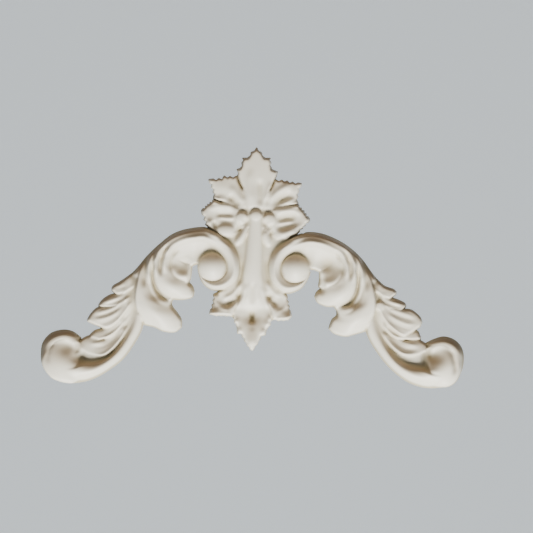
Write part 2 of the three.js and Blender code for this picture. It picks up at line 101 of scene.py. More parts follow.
def nearest(x, z, line):
    """Distance of each place from a line, and the share of the line's length where it is nearest."""
    start, step = line[:-1], np.diff(line, axis=0)
    square = np.maximum((step**2).sum(1), 1e-12)
    length = np.sqrt(square)
    before = np.r_[0, np.cumsum(length)[:-1]]
    distance = np.empty(len(x))
    share = np.empty(len(x))
    for k in range(0, len(x), BATCH):
        dx = x[k : k + BATCH, None] - start[:, 0]
        dz = z[k : k + BATCH, None] - start[:, 1]
        t = np.clip((dx * step[:, 0] + dz * step[:, 1]) / square, 0, 1)
        gap = np.hypot(dx - t * step[:, 0], dz - t * step[:, 1])
        best = gap.argmin(1)
        row = np.arange(len(best))
        distance[k : k + BATCH] = gap[row, best]
        share[k : k + BATCH] = (before[best] + t[row, best] * length[best]) / length.sum()
    return distance, share


def within(x, z, loop):
    """True where a place is inside the closed loop: a ray to the right crosses it an odd number of times."""
    a, b = loop, np.roll(loop, -1, axis=0)
    rise = np.where(b[:, 1] == a[:, 1], 1e-9, b[:, 1] - a[:, 1])
    inside = np.zeros(len(x), bool)
    for k in range(0, len(x), BATCH):
        level = z[k : k + BATCH, None]
        spans = (a[:, 1] > level) != (b[:, 1] > level)
        crossing = a[:, 0] + (level - a[:, 1]) * (b[:, 0] - a[:, 0]) / rise
        inside[k : k + BATCH] = (spans & (x[k : k + BATCH, None] < crossing)).sum(1) % 2 == 1
    return inside


def ease(t):
    """Smooth step from 0 to 1: 3 t squared less 2 t cubed."""
    t = np.clip(t, 0, 1)
    return t * t * (3 - 2 * t)


def window(points, margin=2.0):
    """Slices of the grid round some points."""
    (x0, z0), (x1, z1) = points.min(0) - margin, points.max(0) + margin
    return slice(*np.searchsorted(grid_z, [z0, z1])), slice(*np.searchsorted(grid_x, [x0, x1]))


NEWTON_STEPS = 7
PROBE = 2e-3
LARGEST_U_STEP = 0.05
LARGEST_V_STEP = 0.2
FLATTEST_TURN = 1e-3
TIP_COUNT = 40


def strip(a, b, net, end=None, cornered=False, soft=(1.1, 1.1, 1.1, 1.1), count=96):
    """Carves a form between two rails.

    A place at u along the rails and v across them is a(u) + v (b(u) - a(u)), bowed by the end curve
    with u squared. Newton steps turn each grid place back into its u and v, the net of heights gives
    the front there, and soft is the width over which each side runs into what lies under it: beside
    rail a, beside rail b, at the start and at the end.
    """
    a, b = course(a, count, cornered), course(b, count, cornered)
    chord = np.linspace(a[-1], b[-1], TIP_COUNT + 1)
    tip = chord if end is None else course(end, TIP_COUNT)
    bow = tip - chord
    loop = np.vstack([a, tip[1:-1], b[::-1]])
    part = window(loop)
    x, z = places_x[part].ravel(), places_z[part].ravel()
    inner = within(x, z, loop)
    sides = (a, b, np.vstack([a[0], b[0]]), tip)
    gaps = [nearest(x, z, side)[0] for side in sides]
    edge_gap = np.minimum.reduce(gaps)
    signed = np.where(inner, edge_gap, -edge_gap).reshape(reach[part].shape)
    reach[part] = np.maximum(reach[part], signed)
    along = np.linspace(0, 1, count + 1)
    over = np.linspace(0, 1, TIP_COUNT + 1)

    def at(u, v):
        """Places at u along the rails and v across them."""
        out = []
        for k in (0, 1):
            near = np.interp(u, along, a[:, k])
            far = np.interp(u, along, b[:, k])
            out.append(near + v * (far - near) + u * u * np.interp(v, over, bow[:, k]))
        return out

    x, z = x[inner], z[inner]
    trial_u, trial_v = (t.ravel() for t in np.meshgrid(np.linspace(0, 1, 61), np.linspace(0, 1, 13)))
    trial_x, trial_z = at(trial_u, trial_v)
    first = np.empty(len(x), int)
    for k in range(0, len(x), BATCH):
        gap = (x[k : k + BATCH, None] - trial_x) ** 2 + (z[k : k + BATCH, None] - trial_z) ** 2
        first[k : k + BATCH] = gap.argmin(1)
    u, v = trial_u[first], trial_v[first]
    for _ in range(NEWTON_STEPS):
        px, pz = at(u, v)
        ahead = np.where(u + PROBE > 1, -PROBE, PROBE)
        ux, uz = at(u + ahead, v)
        vx, vz = at(u, v + PROBE)
        ux, uz = (ux - px) / ahead, (uz - pz) / ahead
        vx, vz = (vx - px) / PROBE, (vz - pz) / PROBE
        turn = ux * vz - uz * vx
        turn = np.where(np.abs(turn) < FLATTEST_TURN, FLATTEST_TURN * np.sign(turn + 1e-12), turn)
        rx, rz = x - px, z - pz
        u = np.clip(u + np.clip((rx * vz - rz * vx) / turn, -LARGEST_U_STEP, LARGEST_U_STEP), 0, 1)
        v = np.clip(v + np.clip((ux * rz - uz * rx) / turn, -LARGEST_V_STEP, LARGEST_V_STEP), 0, 1)
    rows = between_rows(net, u)
    columns = rows.shape[1] - 1
    padded = np.concatenate([2 * rows[:, :1] - rows[:, 1:2], rows, 2 * rows[:, -1:] - rows[:, -2:-1]], 1)
    j = np.minimum((v * columns).astype(int), columns - 1)
    s = v * columns - j
    row = np.arange(len(u))
    rise = cubic(*(padded[row, j + k] for k in range(4)), s)
    weight = np.ones(len(u))
    for gap, width in zip(gaps, soft):
        if width:
            weight *= ease(gap[inner] / width)
    cut = np.zeros(signed.shape, bool)
    cut.ravel()[inner] = True
    under = front[part][cut]
    front[part][cut] = under + (rise - under) * weight


def strips(a, b, net, end=None, **ways):
    """The same form on both arms, each along its own rails."""
    for side, sign in enumerate(OUTWARD):
        flip = [sign, 1]
        tip = None if end is None else np.array(end[side]) * flip
        strip(np.array(a[side]) * flip, np.array(b[side]) * flip, net, end=tip, **ways)


def level(height):
    """A net of one height all over."""
    return [[height, height], [height, height]]


def outwards(places):
    """A pair of places given outwards, as the one on the left arm and the one on the right."""
    return [(sign * x, z) for sign, (x, z) in zip(OUTWARD, places)]


def dome(centre, radii, foot, top, soft=0.8, merge=0.0, widen=True, power=0.5):
    """A swelling on an oval foot: foot + (top - foot) (1 - r squared)^power, r being 1 at its edge.

    With merge, in millimetres, it runs smoothly into what is already higher; otherwise it is set
    over it. Only a swelling that may widen the outline adds to reach.
    """
    centre, radii = np.array(centre, float), np.array(radii, float)
    part = window(np.array([centre - radii, centre + radii]))
    x, z = places_x[part], places_z[part]
    square = ((x - centre[0]) / radii[0]) ** 2 + ((z - centre[1]) / radii[1]) ** 2
    edge_gap = (1 - np.sqrt(square)) * radii.min()
    if widen:
        reach[part] = np.maximum(reach[part], edge_gap)
    rise = foot + (top - foot) * np.clip(1 - square, 0, 1) ** power
    if merge:
        lead = np.clip(0.5 + 0.5 * (rise - front[part]) / merge, 0, 1)
        rise = front[part] * (1 - lead) + rise * lead + merge * lead * (1 - lead)
    front[part] += (rise - front[part]) * ease(edge_gap / soft)


def score(points, width, depth, ends=(0.3, 0.3)):
    """A rounded ridge, or with a negative depth a groove, along a curve: depth times exp(-(d / width)^2).

    It fades in and out over the two shares of its length given by ends.
    """
    line = course(points, 120)
    part = window(line, 2.6 * np.max(width))
    x, z = places_x[part].ravel(), places_z[part].ravel()
    gap, share = nearest(x, z, line)
    wide = np.interp(share, np.linspace(0, 1, np.size(width)), np.atleast_1d(width))
    deep = np.interp(share, np.linspace(0, 1, np.size(depth)), np.atleast_1d(depth))
    fade = ease(share / max(ends[0], 1e-6)) * ease((1 - share) / max(ends[1], 1e-6))
    front[part] += (deep * np.exp(-((gap / wide) ** 2)) * fade).reshape(front[part].shape)


def scores(points, width, depth, ends=(0.3, 0.3)):
    """The same stroke on both arms; a course that is None is left out."""
    for side, sign in enumerate(OUTWARD):
        if points[side] is not None:
            score(np.array(points[side]) * [sign, 1], width, depth, ends)


def dent(centre, spread, depth):
    """A round hollow, or with a positive depth a swelling: depth times exp(-r squared)."""
    centre, spread = np.array(centre, float), np.array(spread, float)
    part = window(np.array([centre - 2.6 * spread, centre + 2.6 * spread]))
    square = ((places_x[part] - centre[0]) / spread[0]) ** 2 + ((places_z[part] - centre[1]) / spread[1]) ** 2
    front[part] += depth * np.exp(-square)


def beside(points, gap):
    """The smooth course through the points, moved to its left by gap."""
    line = course(points, 40)
    along = np.gradient(line, axis=0)
    along /= np.hypot(*along.T)[:, None]
    return line + gap * np.column_stack([-along[:, 1], along[:, 0]])


def nick(points, count, depth):
    """Scallops the outline between some points: it moves in by depth times sin(pi count share) squared."""
    line = course(points, 60, cornered=True)
    part = window(line, 3.0)
    gap, share = nearest(places_x[part].ravel(), places_z[part].ravel(), line)
    cut = depth * np.sin(np.pi * count * share) ** 2 * ease((3.0 - gap) / 1.5)
    reach[part] -= cut.reshape(reach[part].shape)


def soften(sigma, field):
    """Gaussian blur of a field within the outline, sigma in millimetres."""
    radius = int(np.ceil(3 * sigma / CELL))
    kernel = np.exp(-0.5 * (np.arange(-radius, radius + 1) * CELL / sigma) ** 2)
    kernel /= kernel.sum()
    mask = (reach > -1.0).astype(float)

    def spread(values):
        """The kernel run over the rows, then over the columns."""
        for axis in (0, 1):
            padding = [(radius, radius) if k == axis else (0, 0) for k in (0, 1)]
            padded = np.pad(values, padding, mode="edge")
            size = values.shape[axis]
            values = sum(w * np.take(padded, range(k, k + size), axis) for k, w in enumerate(kernel))
        return values

    weight = spread(mask)
    return np.where(weight > 1e-6, spread(field * mask) / np.maximum(weight, 1e-6), field)


# Recessed ground. Between the carved forms the mould leaves flat ground well above the back: behind
# the stem and the knob, beside the cups, and under the lowest fingers and the hollow of each curl.
MIDDLE = 8.8
strip(
    a=[(-19, 24), (-19, 14), (-14, 0), (-17, -11), (-23, -16)],
    b=[(23, 21), (17, 12), (12, 0), (15, -12), (19.5, -17)],
    net=level(MIDDLE),
    soft=(0, 0, 0, 0),
)
strip(
    a=[(-17, 24), (-24, 30), (-21, 40), (-9, 49)],
    b=[(16, 23), (23, 29), (21, 38.6), (9, 48)],
    net=level(MIDDLE),
    soft=(0, 0, 0, 0),
)
strips(
    a=[
        [(50, 8), (43, 3), (39.4, 0), (39.2, -5), (40.4, -10), (46, -16), (52, -23)],
        [(50, 8), (43, 1), (40.2, -2), (40.2, -7), (40.4, -12), (45, -18), (51.4, -26)],
    ],
    b=[
        [(64, 6), (65, 0), (66, -6), (66, -12), (64, -17), (61, -21), (56, -25)],
        [(64, 6), (65, 0), (66, -6), (66, -12), (65, -18), (62, -23), (56, -28)],
    ],
    net=level(9.6),
)
strips(
    a=[
        [(80, -44), (92, -50), (102, -48), (109, -46), (116, -44), (124, -47)],
        [(80, -44), (92, -48), (102, -47), (109, -46), (116, -44), (124, -47)],
    ],
    b=[
        [(84, -52), (94, -60), (102, -63), (110, -63), (118, -62), (125, -56)],
        [(85, -52), (94, -60), (102, -63), (110, -63), (118, -62), (125, -56)],
    ],
    net=level(8),
)

# Lower stem and end curl. The stem is a rounded rib that sweeps outwards, its upper flank turned to
# the leaf, and rolls over the top of a full bulb at its end.
strips(
    a=[
        [(66, 7), (73, -1.6), (77.6, -7), (82, -15), (86, -24), (91, -32), (95, -37.4)],
        [(66, 6.4), (72.6, -2.4), (77.6, -8.4), (82, -16), (86, -25), (91, -33), (97, -38)],
    ],
    b=[
        [(62, 3), (66, -10), (68, -20), (71, -30), (76, -40), (82, -48), (90, -55)],
        [(62, 1), (66, -12), (69, -22), (72, -31), (76, -40), (82, -48), (89, -52)],
    ],
    net=[[EDGE, 9, 10, 10], [EDGE, 7.6, 9, 9.4], [5.6, 6.8, 7.8, 7.6], [5.6, 6, 6.6, 6.6]],
)
strips(
    a=[[
        (67.4, -31), (69.2, -39.6), (74, -48.9), (80.3, -57.7), (88, -64.1), (96.2, -69.2), (104.4, -72.2),
        (112.4, -72.9), (120, -71.4), (126.7, -66.9), (130.5, -60.1), (131.4, -53), (129.9, -47.2),
        (125.2, -42.1), (118.4, -40.1), (112, -41), (106.6, -44.8),
    ], [
        (68.4, -33), (70.7, -41.3), (76, -50.1), (82.3, -58.1), (89.5, -64.7), (96.9, -69.4), (105, -72),
        (112.2, -72.4), (119.8, -70.7), (125.9, -66.4), (129.6, -60.4), (130.5, -53), (128.9, -46.6),
        (124.6, -42.1), (118.5, -40.2), (112.4, -41.6), (106.4, -44.6),
    ]],
    b=[[
        (74, -26), (77, -36), (82, -45), (87.6, -52.6), (94, -57), (100, -58.6), (106, -59), (111, -61),
        (116, -61.4), (120.6, -59.6), (123.4, -56.4), (124, -53), (122.6, -49.6), (119.6, -47.4),
        (116, -46.8), (112, -47.6), (108, -50),
    ], [
        (75, -27), (79, -37), (84, -46), (88.8, -52.4), (95, -56.4), (101, -58.2), (106, -59), (111, -61),
        (116, -61.4), (120.6, -59.6), (122.6, -56.4), (122.8, -53), (121.6, -49.6), (119, -47),
        (115.6, -46.4), (111.6, -47.4), (108, -50),
    ]],
    net=[
        [7, 9.4, 10, 9.4, 9],
        [6, 10, 11, 9.8, 8.8],
        [6, 11, 12.6, 10.8, 8.8],
        [6, 11.4, 13.8, 12.6, 10],
        [6.2, 11.4, 13.8, 14.4, 14.2],
        [5.6, 8.4, 9.8, 10.9, 11.8],
        [5.2, 8, 9.4, 10.4, 11.3],
        [EDGE, 7.4, 8.6, 9.2, 9.4],
    ],
    soft=(1.1, 3.2, 1.1, 4),
    count=140,
)
BULBS = outwards([(119, -63), (118.2, -60)])
BULB_RADII = [(15, 17), (12, 14.4)]
HOLLOWS = outwards([(113.4, -50), (111.2, -51.8)])
HOLLOW_DEPTHS = [-3, -4.4]
for side, sign in enumerate(OUTWARD):
    dome((sign * 118, -59), (11, 12.6), 10, 11, soft=4, merge=1)
    dome((sign * 117, -53), (12.6, 11.6), 11.2, 12, soft=4, merge=1.5, widen=False)
    dome(BULBS[side], BULB_RADII[side], 10.4, 15.4, soft=4, merge=1.6, widen=False, power=1)
    dent(HOLLOWS[side], (6, 5.6), HOLLOW_DEPTHS[side])

# The right bulb swells at its foot, the left one has a hollow beside it, and each curl dips inside.
dent((110, -62), (4, 2.2), 1.1)
dent((-107.6, -57.4), (5, 3.2), -1.6)
for x in (-108.4, 107.4):
    dent((x, -52.6), (2.4, 4.6), -1.7)
score([(-120.6, -46.6), (-125, -50.6), (-126.4, -56), (-125.4, -62)], 1.5, (-0.3, -0.7, -0.4))
score([(118.5, -47), (122.2, -50), (124, -55), (124.4, -60), (123, -65)], 1.5, (-0.6, -1.9, -1.3))
scores([[(109, -45), (113, -43.6), (118.4, -43.2), (124.4, -45.6), (128.4, -51), (128.6, -57)],
        [(109, -45), (113, -43.8), (118.4, -43.2), (123.6, -45.4), (127.4, -51), (127.6, -57)]], 0.9, 0.5)
scores([[(109.4, -46.6), (108.4, -50.6), (108.6, -55)],
        [(109.2, -46.4), (108.6, -50), (109.4, -55)]], 1.3, -1.3)
scores([[(90, -57), (97, -60), (104, -60), (110, -56), (113, -51.6)],
        [(90, -55), (97, -58), (104, -59), (110, -56.6)]], 2.8, (-0.4, -0.7, -0.4))


# Outer leaf. Five fingers lie over one another like shingles, each low along its upper edge and
# raised to a lip along its lower edge, so they are carved from the lowest up.
def finger(lip, trough=LEAF + 0.9):
    """Heights of a finger, rows from root to tip and columns from its upper edge to its lip."""
    return [
        [LEAF + 1, trough + 1.2, lip - 1.2, lip - 0.8],
        [EDGE + 1.8, trough, lip - 1.2, lip - 0.2],
        [EDGE + 1, trough, lip - 1.6, lip - 0.8],
        [EDGE + 1, EDGE + 1.6, EDGE + 2.6, EDGE + 2.6],
    ]


SHINGLE = (0.8, 1, 4, 1.2)
WIDE_FINGER = [
    [9.4, 9.4, 9.8, 10.4],
    [8.4, 9.2, 9.8, 10.6],
    [7.6, 8.8, 9.4, 9.8],
    [6.4, 7.4, 8, 7.8],
]
FINGERS = [
    ([[(80, -36), (86, -42), (92.6, -45.4), (100.8, -43.2), (106.2, -45.4), (107.9, -48)],
      [(80.6, -36.6), (86, -41), (92.6, -42.6), (101.6, -42.2), (106.6, -44.5), (107.8, -47)]],
     [[(77, -37), (80.6, -45), (86, -51.6), (92, -56), (100, -55.3), (107, -52.4)],
      [(78, -38), (82.6, -45), (87.6, -50.2), (94.4, -52.8), (101, -52.3), (107.2, -49.8)]], finger(10.4)),
    ([[(81, -31), (86, -36), (92, -38.4), (98, -39.8), (101.6, -43)],
      [(81, -31), (86, -36), (92, -39), (100.8, -36.6), (103.7, -40.6)]],
     [[(78, -32.4), (82.6, -39), (88, -43.6), (94.6, -46.2), (101.2, -44.8)],
      [(78.6, -33), (82.6, -38.4), (88, -41.8), (96.6, -43.2), (103.7, -42.6)]], finger(9.8, 7.6)),
    ([[(77.6, -20), (83, -23), (90, -25.2), (96.8, -25.8), (100.8, -29.4), (103.2, -33.4)],
      [(77.6, -20), (83, -22.4), (90, -23.4), (97.3, -23.8), (102.9, -28), (104.4, -31.4)]],
     [[(74.6, -22), (79, -29), (84.5, -35.6), (90.5, -39), (96, -37.8), (103, -34.9)],
      [(75.6, -22), (79.6, -30), (84.6, -35.8), (92, -40.4), (98, -38.4), (103.4, -34.4)]], WIDE_FINGER),
    ([[(77, -13), (82, -16.4), (88.8, -17.6), (93.8, -20.8), (96.4, -24.2)],
      [(77, -13), (82, -15.8), (88, -17.3), (93, -19.5), (94.3, -21.2)]],
     [[(75.6, -19), (80, -22.8), (87, -25.6), (93, -26.2), (96.4, -25.6)],
      [(75.6, -19), (80, -22.4), (87, -24.6), (91, -25), (94.1, -22.6)]], finger(10.2)),
    ([[(75, -3.6), (82.7, -9.2), (87, -11.8), (88.4, -13.6)],
      [(75, -4.4), (80.6, -9.3), (86, -11.2), (88.3, -13)]],
     [[(73, -12), (78, -16), (84.6, -18.1), (88.4, -15.6)],
      [(73, -12), (78, -15.8), (83.8, -17.7), (88.1, -14.8)]], finger(10)),
]
for upper_edge, lip, heights in FINGERS:
    strips(upper_edge, lip, heights, soft=SHINGLE)

# Scroll. The arm rises in an arch over the bay, a steep outer flank, a crest and a wide hollow face
# under it, and winds round the eye; the same band runs out into the leaves.
EYES = [(26, 0.3), (25, 0)]


def round_eye(side, radius=8.4, first=10, final=330, count=22):
    """Places just inside the edge of an eye, from one angle to another in degrees."""
    angle = np.radians(np.linspace(first, final, count + 1))
    return np.array(EYES[side]) + radius * np.column_stack([np.cos(angle), np.sin(angle)])


strips(
    a=[[
        (77.4, -5.8), (72.5, -0.6), (68.2, 4.9), (64, 9.5), (59, 14.2), (52.4, 19.6), (45.1, 22.9),
        (36.2, 24.7), (30, 24.7), (24, 22), (18.5, 18.3), (13.6, 14), (10.2, 8.6), (8.8, 3), (8.7, -2.5),
        (10.4, -7.5), (14, -11.5), (18.5, -14), (24.5, -14.5), (30, -12.1), (33.5, -7.6), (35.4, -1),
    ], [
        (77.4, -7), (72.6, -1.4), (67.9, 5.1), (63, 10.4), (56.6, 15.4), (50, 19), (43.5, 21.6),
        (37.1, 22.9), (30.8, 22.7), (24.5, 20.4), (18.5, 17), (13.5, 13), (9.9, 8.4), (8.3, 3), (8.5, -3),
        (10.2, -8.2), (13.4, -12.6), (17.5, -15.4), (22.5, -15.4), (29, -12.3), (32.9, -7), (35, -1.4),
    ]],
    b=[[
        (62, -14), (60, -6), (54, -3), (48, 2), (43, 2), (39, 0.4), (37, 1.2), (35.4, 1.6), *round_eye(0),
    ], [
        (63, -15), (61, -7), (55, -3), (50, 2), (44, -1), (40, -1.6), (37, -0.7), (35.2, -0.6),
        *round_eye(1),
    ]],
    net=[
        [EDGE, 8, 9, 9.6, 9.6, 9.2, 9, 9, 9],
        [EDGE, 9.2, 11, 11.8, 11.6, 11, 10.4, 10, 9.4],
        [5.4, 11.6, 13.8, 14.2, 12.8, 11.4, 10.6, 10, 9.8],
        [7, 12.6, 15, 13.6, 11.6, 10.2, 9.4, 9.2, 9.2],
        [9, 12.8, 15, 13.6, 11.4, 9.8, 9, 8.8, 8.8],
        [8.8, 11.8, 13.6, 14.4, 13.6, 12.6, 11.8, 11.5, 11.4],
        [8.8, 11.2, 13.2, 14.4, 13.8, 13, 12.3, 12, 12],
        [6, 9.6, 12, 13.4, 13.6, 13, 12.6, 12.3, 12.2],
        [6, 9.4, 11, 11.8, 12.2, 12.4, 12.4, 12.4, 12.4],
    ],
    count=170,
    soft=(1, 1, 3, 1.1),
)
ARCH = [
    [(68.2, 4.9), (64, 9.5), (59, 14.2), (52.4, 19.6), (45.1, 22.9), (36.2, 24.7), (30, 24.7), (24, 22),
     (18.5, 18.3), (13.6, 14), (10.2, 8.6)],
    [(67.9, 5.1), (63, 10.4), (56.6, 15.4), (50, 19), (43.5, 21.6), (37.1, 22.9), (30.8, 22.7),
     (24.5, 20.4), (18.5, 17), (13.5, 13), (9.9, 8.4)],
]
for gap, width, depth in ((2.8, 0.9, 0.5), (4.6, 1.3, -0.6), (6.6, 1.2, 0.5), (9, 1.7, -0.4)):
    scores([beside(line, gap) for line in ARCH], width, depth, (0.15, 0.2))
for eye in outwards(EYES):
    dome(eye, (10.4, 10.4), 10.4, 10.6, soft=1.5, merge=0.5, widen=False)
    dome(eye, (9.3, 9.3), 10.9, 16.4, soft=0.9, power=0.95)
scores([[(18.4, 5), (20.8, 8.4), (25.6, 10), (31, 8.2), (34, 5)],
        [(17.4, 4.6), (19.8, 8), (24.6, 9.6), (30, 7.8), (33, 4.6)]], 0.8, -0.4)
scores([round_eye(side, 8.3, 195, 335) for side in (0, 1)], 1.1, 0.9, (0.2, 0.2))
for beside_palmette in ((-22.5, 20.6), (23, 19.4)):
    dent(beside_palmette, (5, 2.4), 2.6)

# Inner leaf. Under the arch hang a second and a first lobe with a fold between them, their long
# flutes running down out of the arch, and a small cup with a bowed lip at the head of the bay.
strips(
    a=[[
        (63, 2), (62.8, -6), (61, -13), (57, -18), (51, -20.4), (50.5, -24), (46.8, -28.8), (44.5, -32.8),
        (44.3, -37.4),
    ], [
        (63.6, 1), (64, -8), (62.6, -15), (58.6, -21), (51.2, -22.4), (51, -28), (48.4, -30.6),
        (47.1, -33.6), (46.3, -36.8),
    ]],
    b=[[
        (68, 4), (71.4, -4), (73.2, -12), (73.8, -19), (73, -25), (71.4, -29.6), (70, -32.6),
        (68.8, -34.6), (67.8, -36.4),
    ], [
        (68, 3), (72, -5), (74.4, -12), (75.4, -19), (75, -25), (73.4, -30), (71.6, -33.8), (70.2, -36),
        (69.2, -38.1),
    ]],
    end=[
        [(44.3, -37.4), (48.6, -40.6), (55.6, -40.3), (61.4, -37.8), (67.8, -36.4)],
        [(46.3, -36.8), (50, -39.9), (56.8, -41.5), (62.4, -40.2), (69.2, -38.1)],
    ],
    net=[
        [10.6, 11, 11, 10.8, 10.4],
        [9, 11, 12, 12.4, 11.4],
        [8.2, 10, 12.2, 13.4, 12],
        [7.8, 11.4, 13.6, 13.2, 11.2],
        [6, 7.6, 8.4, 8.4, 8],
    ],
    soft=(1.4, 1, 7, 1.2),
)
strips(
    a=[
        [(47, 12), (50.6, 4), (50.4, -2), (47.6, -6), (42, -8.2), (38.2, -11.4), (36.8, -15)],
        [(48, 12), (52, 4), (53, -2), (50, -7.4), (43.4, -10.6), (38.8, -13.4), (37.1, -17)],
    ],
    b=[
        [(58, 10), (61.6, 3), (63, -4), (62, -10), (59, -15.4), (55, -18.8), (51, -20.3)],
        [(58, 10), (62, 3), (63.6, -5), (63, -12), (60.6, -17.6), (57.4, -20.6), (52.4, -21.6)],
    ],
    end=[
        [(36.8, -15), (38, -18.7), (42.5, -20.3), (47, -20.6), (51, -20.3)],
        [(37.1, -17), (39, -20.6), (43, -22.7), (47.6, -23.4), (52.4, -21.6)],
    ],
    net=[
        [12, 12.4, 12.4, 12, 11.6],
        [10.8, 12.2, 12.8, 12.8, 12],
        [9.6, 12.2, 13.6, 13.6, 12],
        [8.6, 11.6, 13, 12.2, 9.6],
        [6, 8, 8.4, 7.8, 6.4],
    ],
    soft=(2, 1, 7, 1.2),
)
CUP_FLOORS = outwards([(42.8, 2.2), (43.8, 1.2)])
CUPS = outwards([(43.4, 1.6), (44.8, 2.6)])
CUP_SPREAD = [(4.6, 3.8), (5.2, 5)]
CUP_SINK = [-1.7, -3.8]
for cup_floor in CUP_FLOORS:
    dome(cup_floor, (6, 6), 9.6, 9.8, soft=3, widen=False)
strips(
    a=[
        [(38.6, 2), (38.7, -3), (40, -8.2), (45, -8), (49.2, -5.4), (51.4, -1), (51, 4)],
        [(39.8, 0), (39.9, -6), (40, -11.6), (46.4, -10.6), (51.6, -7.4), (54.6, -2), (54.4, 4)],
    ],
    b=[
        [(43, 3), (43, 1), (43.4, -0.4), (44.4, -0.6), (45.4, 0.4), (45.6, 2), (45.4, 4)],
        [(43.6, 3), (43.4, -1.6), (43.6, -5), (45.6, -4.4), (47.6, -2.4), (49, 0.4), (49, 4)],
    ],
    net=level(9.8),
    soft=(0.9, 3, 3, 5),
)
for cup, spread, sink in zip(CUPS, CUP_SPREAD, CUP_SINK):
    dent(cup, spread, sink)
scores([[(50.6, 3), (50, -2), (46.6, -5.4), (40.4, -6)],
        [(54, 2), (52.8, -4), (48.6, -8), (42.6, -9.2)]], 2.4, (0.4, 1.6, 2, 1.7), (0.3, 0.1))
scores([None, [(41.4, -2), (40.8, -8), (41.4, -13), (40.4, -16.5)]], 1.8, -1.6)
FLUTES = [
    ([(46, 12), (51, 6.6), (52.4, 1), (51, -5)],
     [(48, 11.6), (53.6, 5), (55, -1.6), (53.4, -8)], 1.1, -1.3, -1.3),
    ([(50, 13), (54.5, 7), (55.6, 1), (54.6, -5)],
     [(51, 11.5), (56, 5), (57, -1), (56, -7)], 1.4, 1.7, 1.4),
    ([(52, 14), (57, 8), (58.3, 1), (57.5, -7)],
     [(53, 13), (58.4, 6), (59.4, -1), (58.6, -8)], 1.4, -2.5, -2),
    ([(55, 13.5), (60, 7), (61.2, 0), (60.4, -8)],
     [(56, 12.5), (60.8, 5), (61.6, -2), (61, -9)], 1.4, 1.9, 1.7),
    ([(63, 8.5), (64.8, 3), (65.2, -3), (64.6, -11)],
     [(62, 9.5), (65.6, 2), (66.4, -4), (66, -11)], 1.3, 1.5, 1.2),
    ([(65, 8), (67.5, 2), (68.2, -5), (67.6, -14)],
     [(64, 9), (68.4, 1), (69.4, -6), (69, -14)], 1.7, -2.5, -2.1),
    ([(67, 7), (71, 0), (73, -9), (73.6, -18), (72, -26), (69.6, -32.6)],
     [(66, 8), (72, -1), (74.2, -10), (74.6, -18), (73.6, -26), (70.6, -34)], 1.6, 1.1, 1.1),
]
scores([[(64.6, -2), (64, -9), (61.6, -16), (57, -20.6), (51.8, -22.6)],
        [(65.4, -3), (65.4, -11), (63, -18), (58.6, -23.6), (51.8, -25.6)]], 0.9, 0.6)
scores([[(66, -4), (65.4, -11), (62.8, -18), (58.4, -22.6), (53, -24.6)],
        [(67, -5), (66.8, -13), (64.2, -20), (59.8, -26), (53, -28)]], 0.9, -0.6)
for left, right, width, left_depth, right_depth in FLUTES:
    score(np.array(left) * [-1, 1], width, left_depth)
    score(right, width, right_depth)
scores([[(58, 13), (62.4, 6.5), (63.2, 0), (62.4, -8), (60, -14.4), (56, -18.8), (51.4, -20.8)],
        [(58, 13), (63, 5), (64.2, -2), (63.8, -9), (62, -16), (58, -21.4), (52.4, -22.8)]],
       1.1, (-0.4, -1, -1.8, -2.2, -1.4), (0.15, 0.1))

# Leaf ribs. Narrow ribs part the fingers and run back along the stem in long curves, and shallow
# grooves lie between them. Each row has the left course, the right one, the width and the height.
RIBS = [
    ([(74, -19), (76.4, -25.4), (80.4, -31.4), (85.4, -36.8), (90.4, -39.4), (95, -38.6)],
     [(75, -21), (79.2, -29.4), (84.2, -34.8), (90.2, -39.2), (97, -40.6)], 1.2, 1.2),
    ([(75, -27), (79, -34), (84, -40), (89, -43.6), (95, -45.6), (100, -44.6)],
     [(76, -27), (80, -34), (85, -39), (90, -41.8), (96, -43)], 1, 0.9),
    ([(74.6, -29), (78, -38), (82.6, -45.6), (88, -52), (94, -55.4), (101, -54.4)],
     [(75, -30), (80, -39), (86, -46.6), (92, -51), (98, -51.4), (105, -49.6)], 1.1, 1.1),
    ([(73.6, -23), (76.4, -33), (80, -41), (84.4, -48.4), (89, -54), (94, -57.2), (101, -57.4)],
     [(74.6, -25), (77.6, -34), (82.4, -42.6), (88, -50.4), (94, -54.4), (101, -54.4)], 1.5, -0.5),
    ([(76, -15.6), (80.6, -20), (87, -23.4), (93, -24.4)],
     [(76, -15.6), (80.6, -19.6), (87, -22.6), (92, -22.6)], 1.2, -0.6),
    ([(80, -21.6), (87, -26), (94, -28.6), (100, -30)],
     [(80.6, -21.2), (87.6, -24.8), (95, -27), (101, -29.4)], 0.9, 0.6),
    ([(80, -23.6), (87, -28.2), (94, -30.8), (100, -31.6)],
     [(80.6, -23.4), (87.6, -27.4), (95, -29.8), (101, -31)], 0.9, -0.45),
    ([(80.6, -25.4), (87, -30.4), (94, -33), (100.4, -33.4)],
     [(81, -26), (88, -30.2), (95, -32.8), (101.6, -33)], 0.9, 0.6),
    ([(81, -28.6), (87, -33.4), (93, -35.8), (98, -35.6)],
     [(81.6, -29.4), (88, -33.6), (95, -36), (99.6, -35.6)], 0.9, -0.35),
    ([(84, -39.6), (89, -44.6), (95, -47.6), (102, -48.6)],
     [(84.6, -38.6), (89.6, -42.6), (96, -45), (103, -46.4)], 0.9, 0.7),
    ([(82, -40), (87, -46.4), (93, -50), (100, -51)],
     [(83, -40), (88, -45), (95, -48.2), (103, -48.6)], 1, -0.45),
    ([(81.4, -18.6), (88, -21.4), (94, -23.8)],
     [(81, -18), (87, -20.2), (93, -21.6)], 0.8, 0.6),
    ([(78.6, -12.4), (83, -13.6), (87, -14.6)],
     [(78.6, -12.4), (83, -13.2), (87, -14)], 0.9, -0.4),
]
for left, right, width, height in RIBS:
    scores([left, right], width, height)
dent((-78.4, -20.8), (2.2, 2), 1.4)
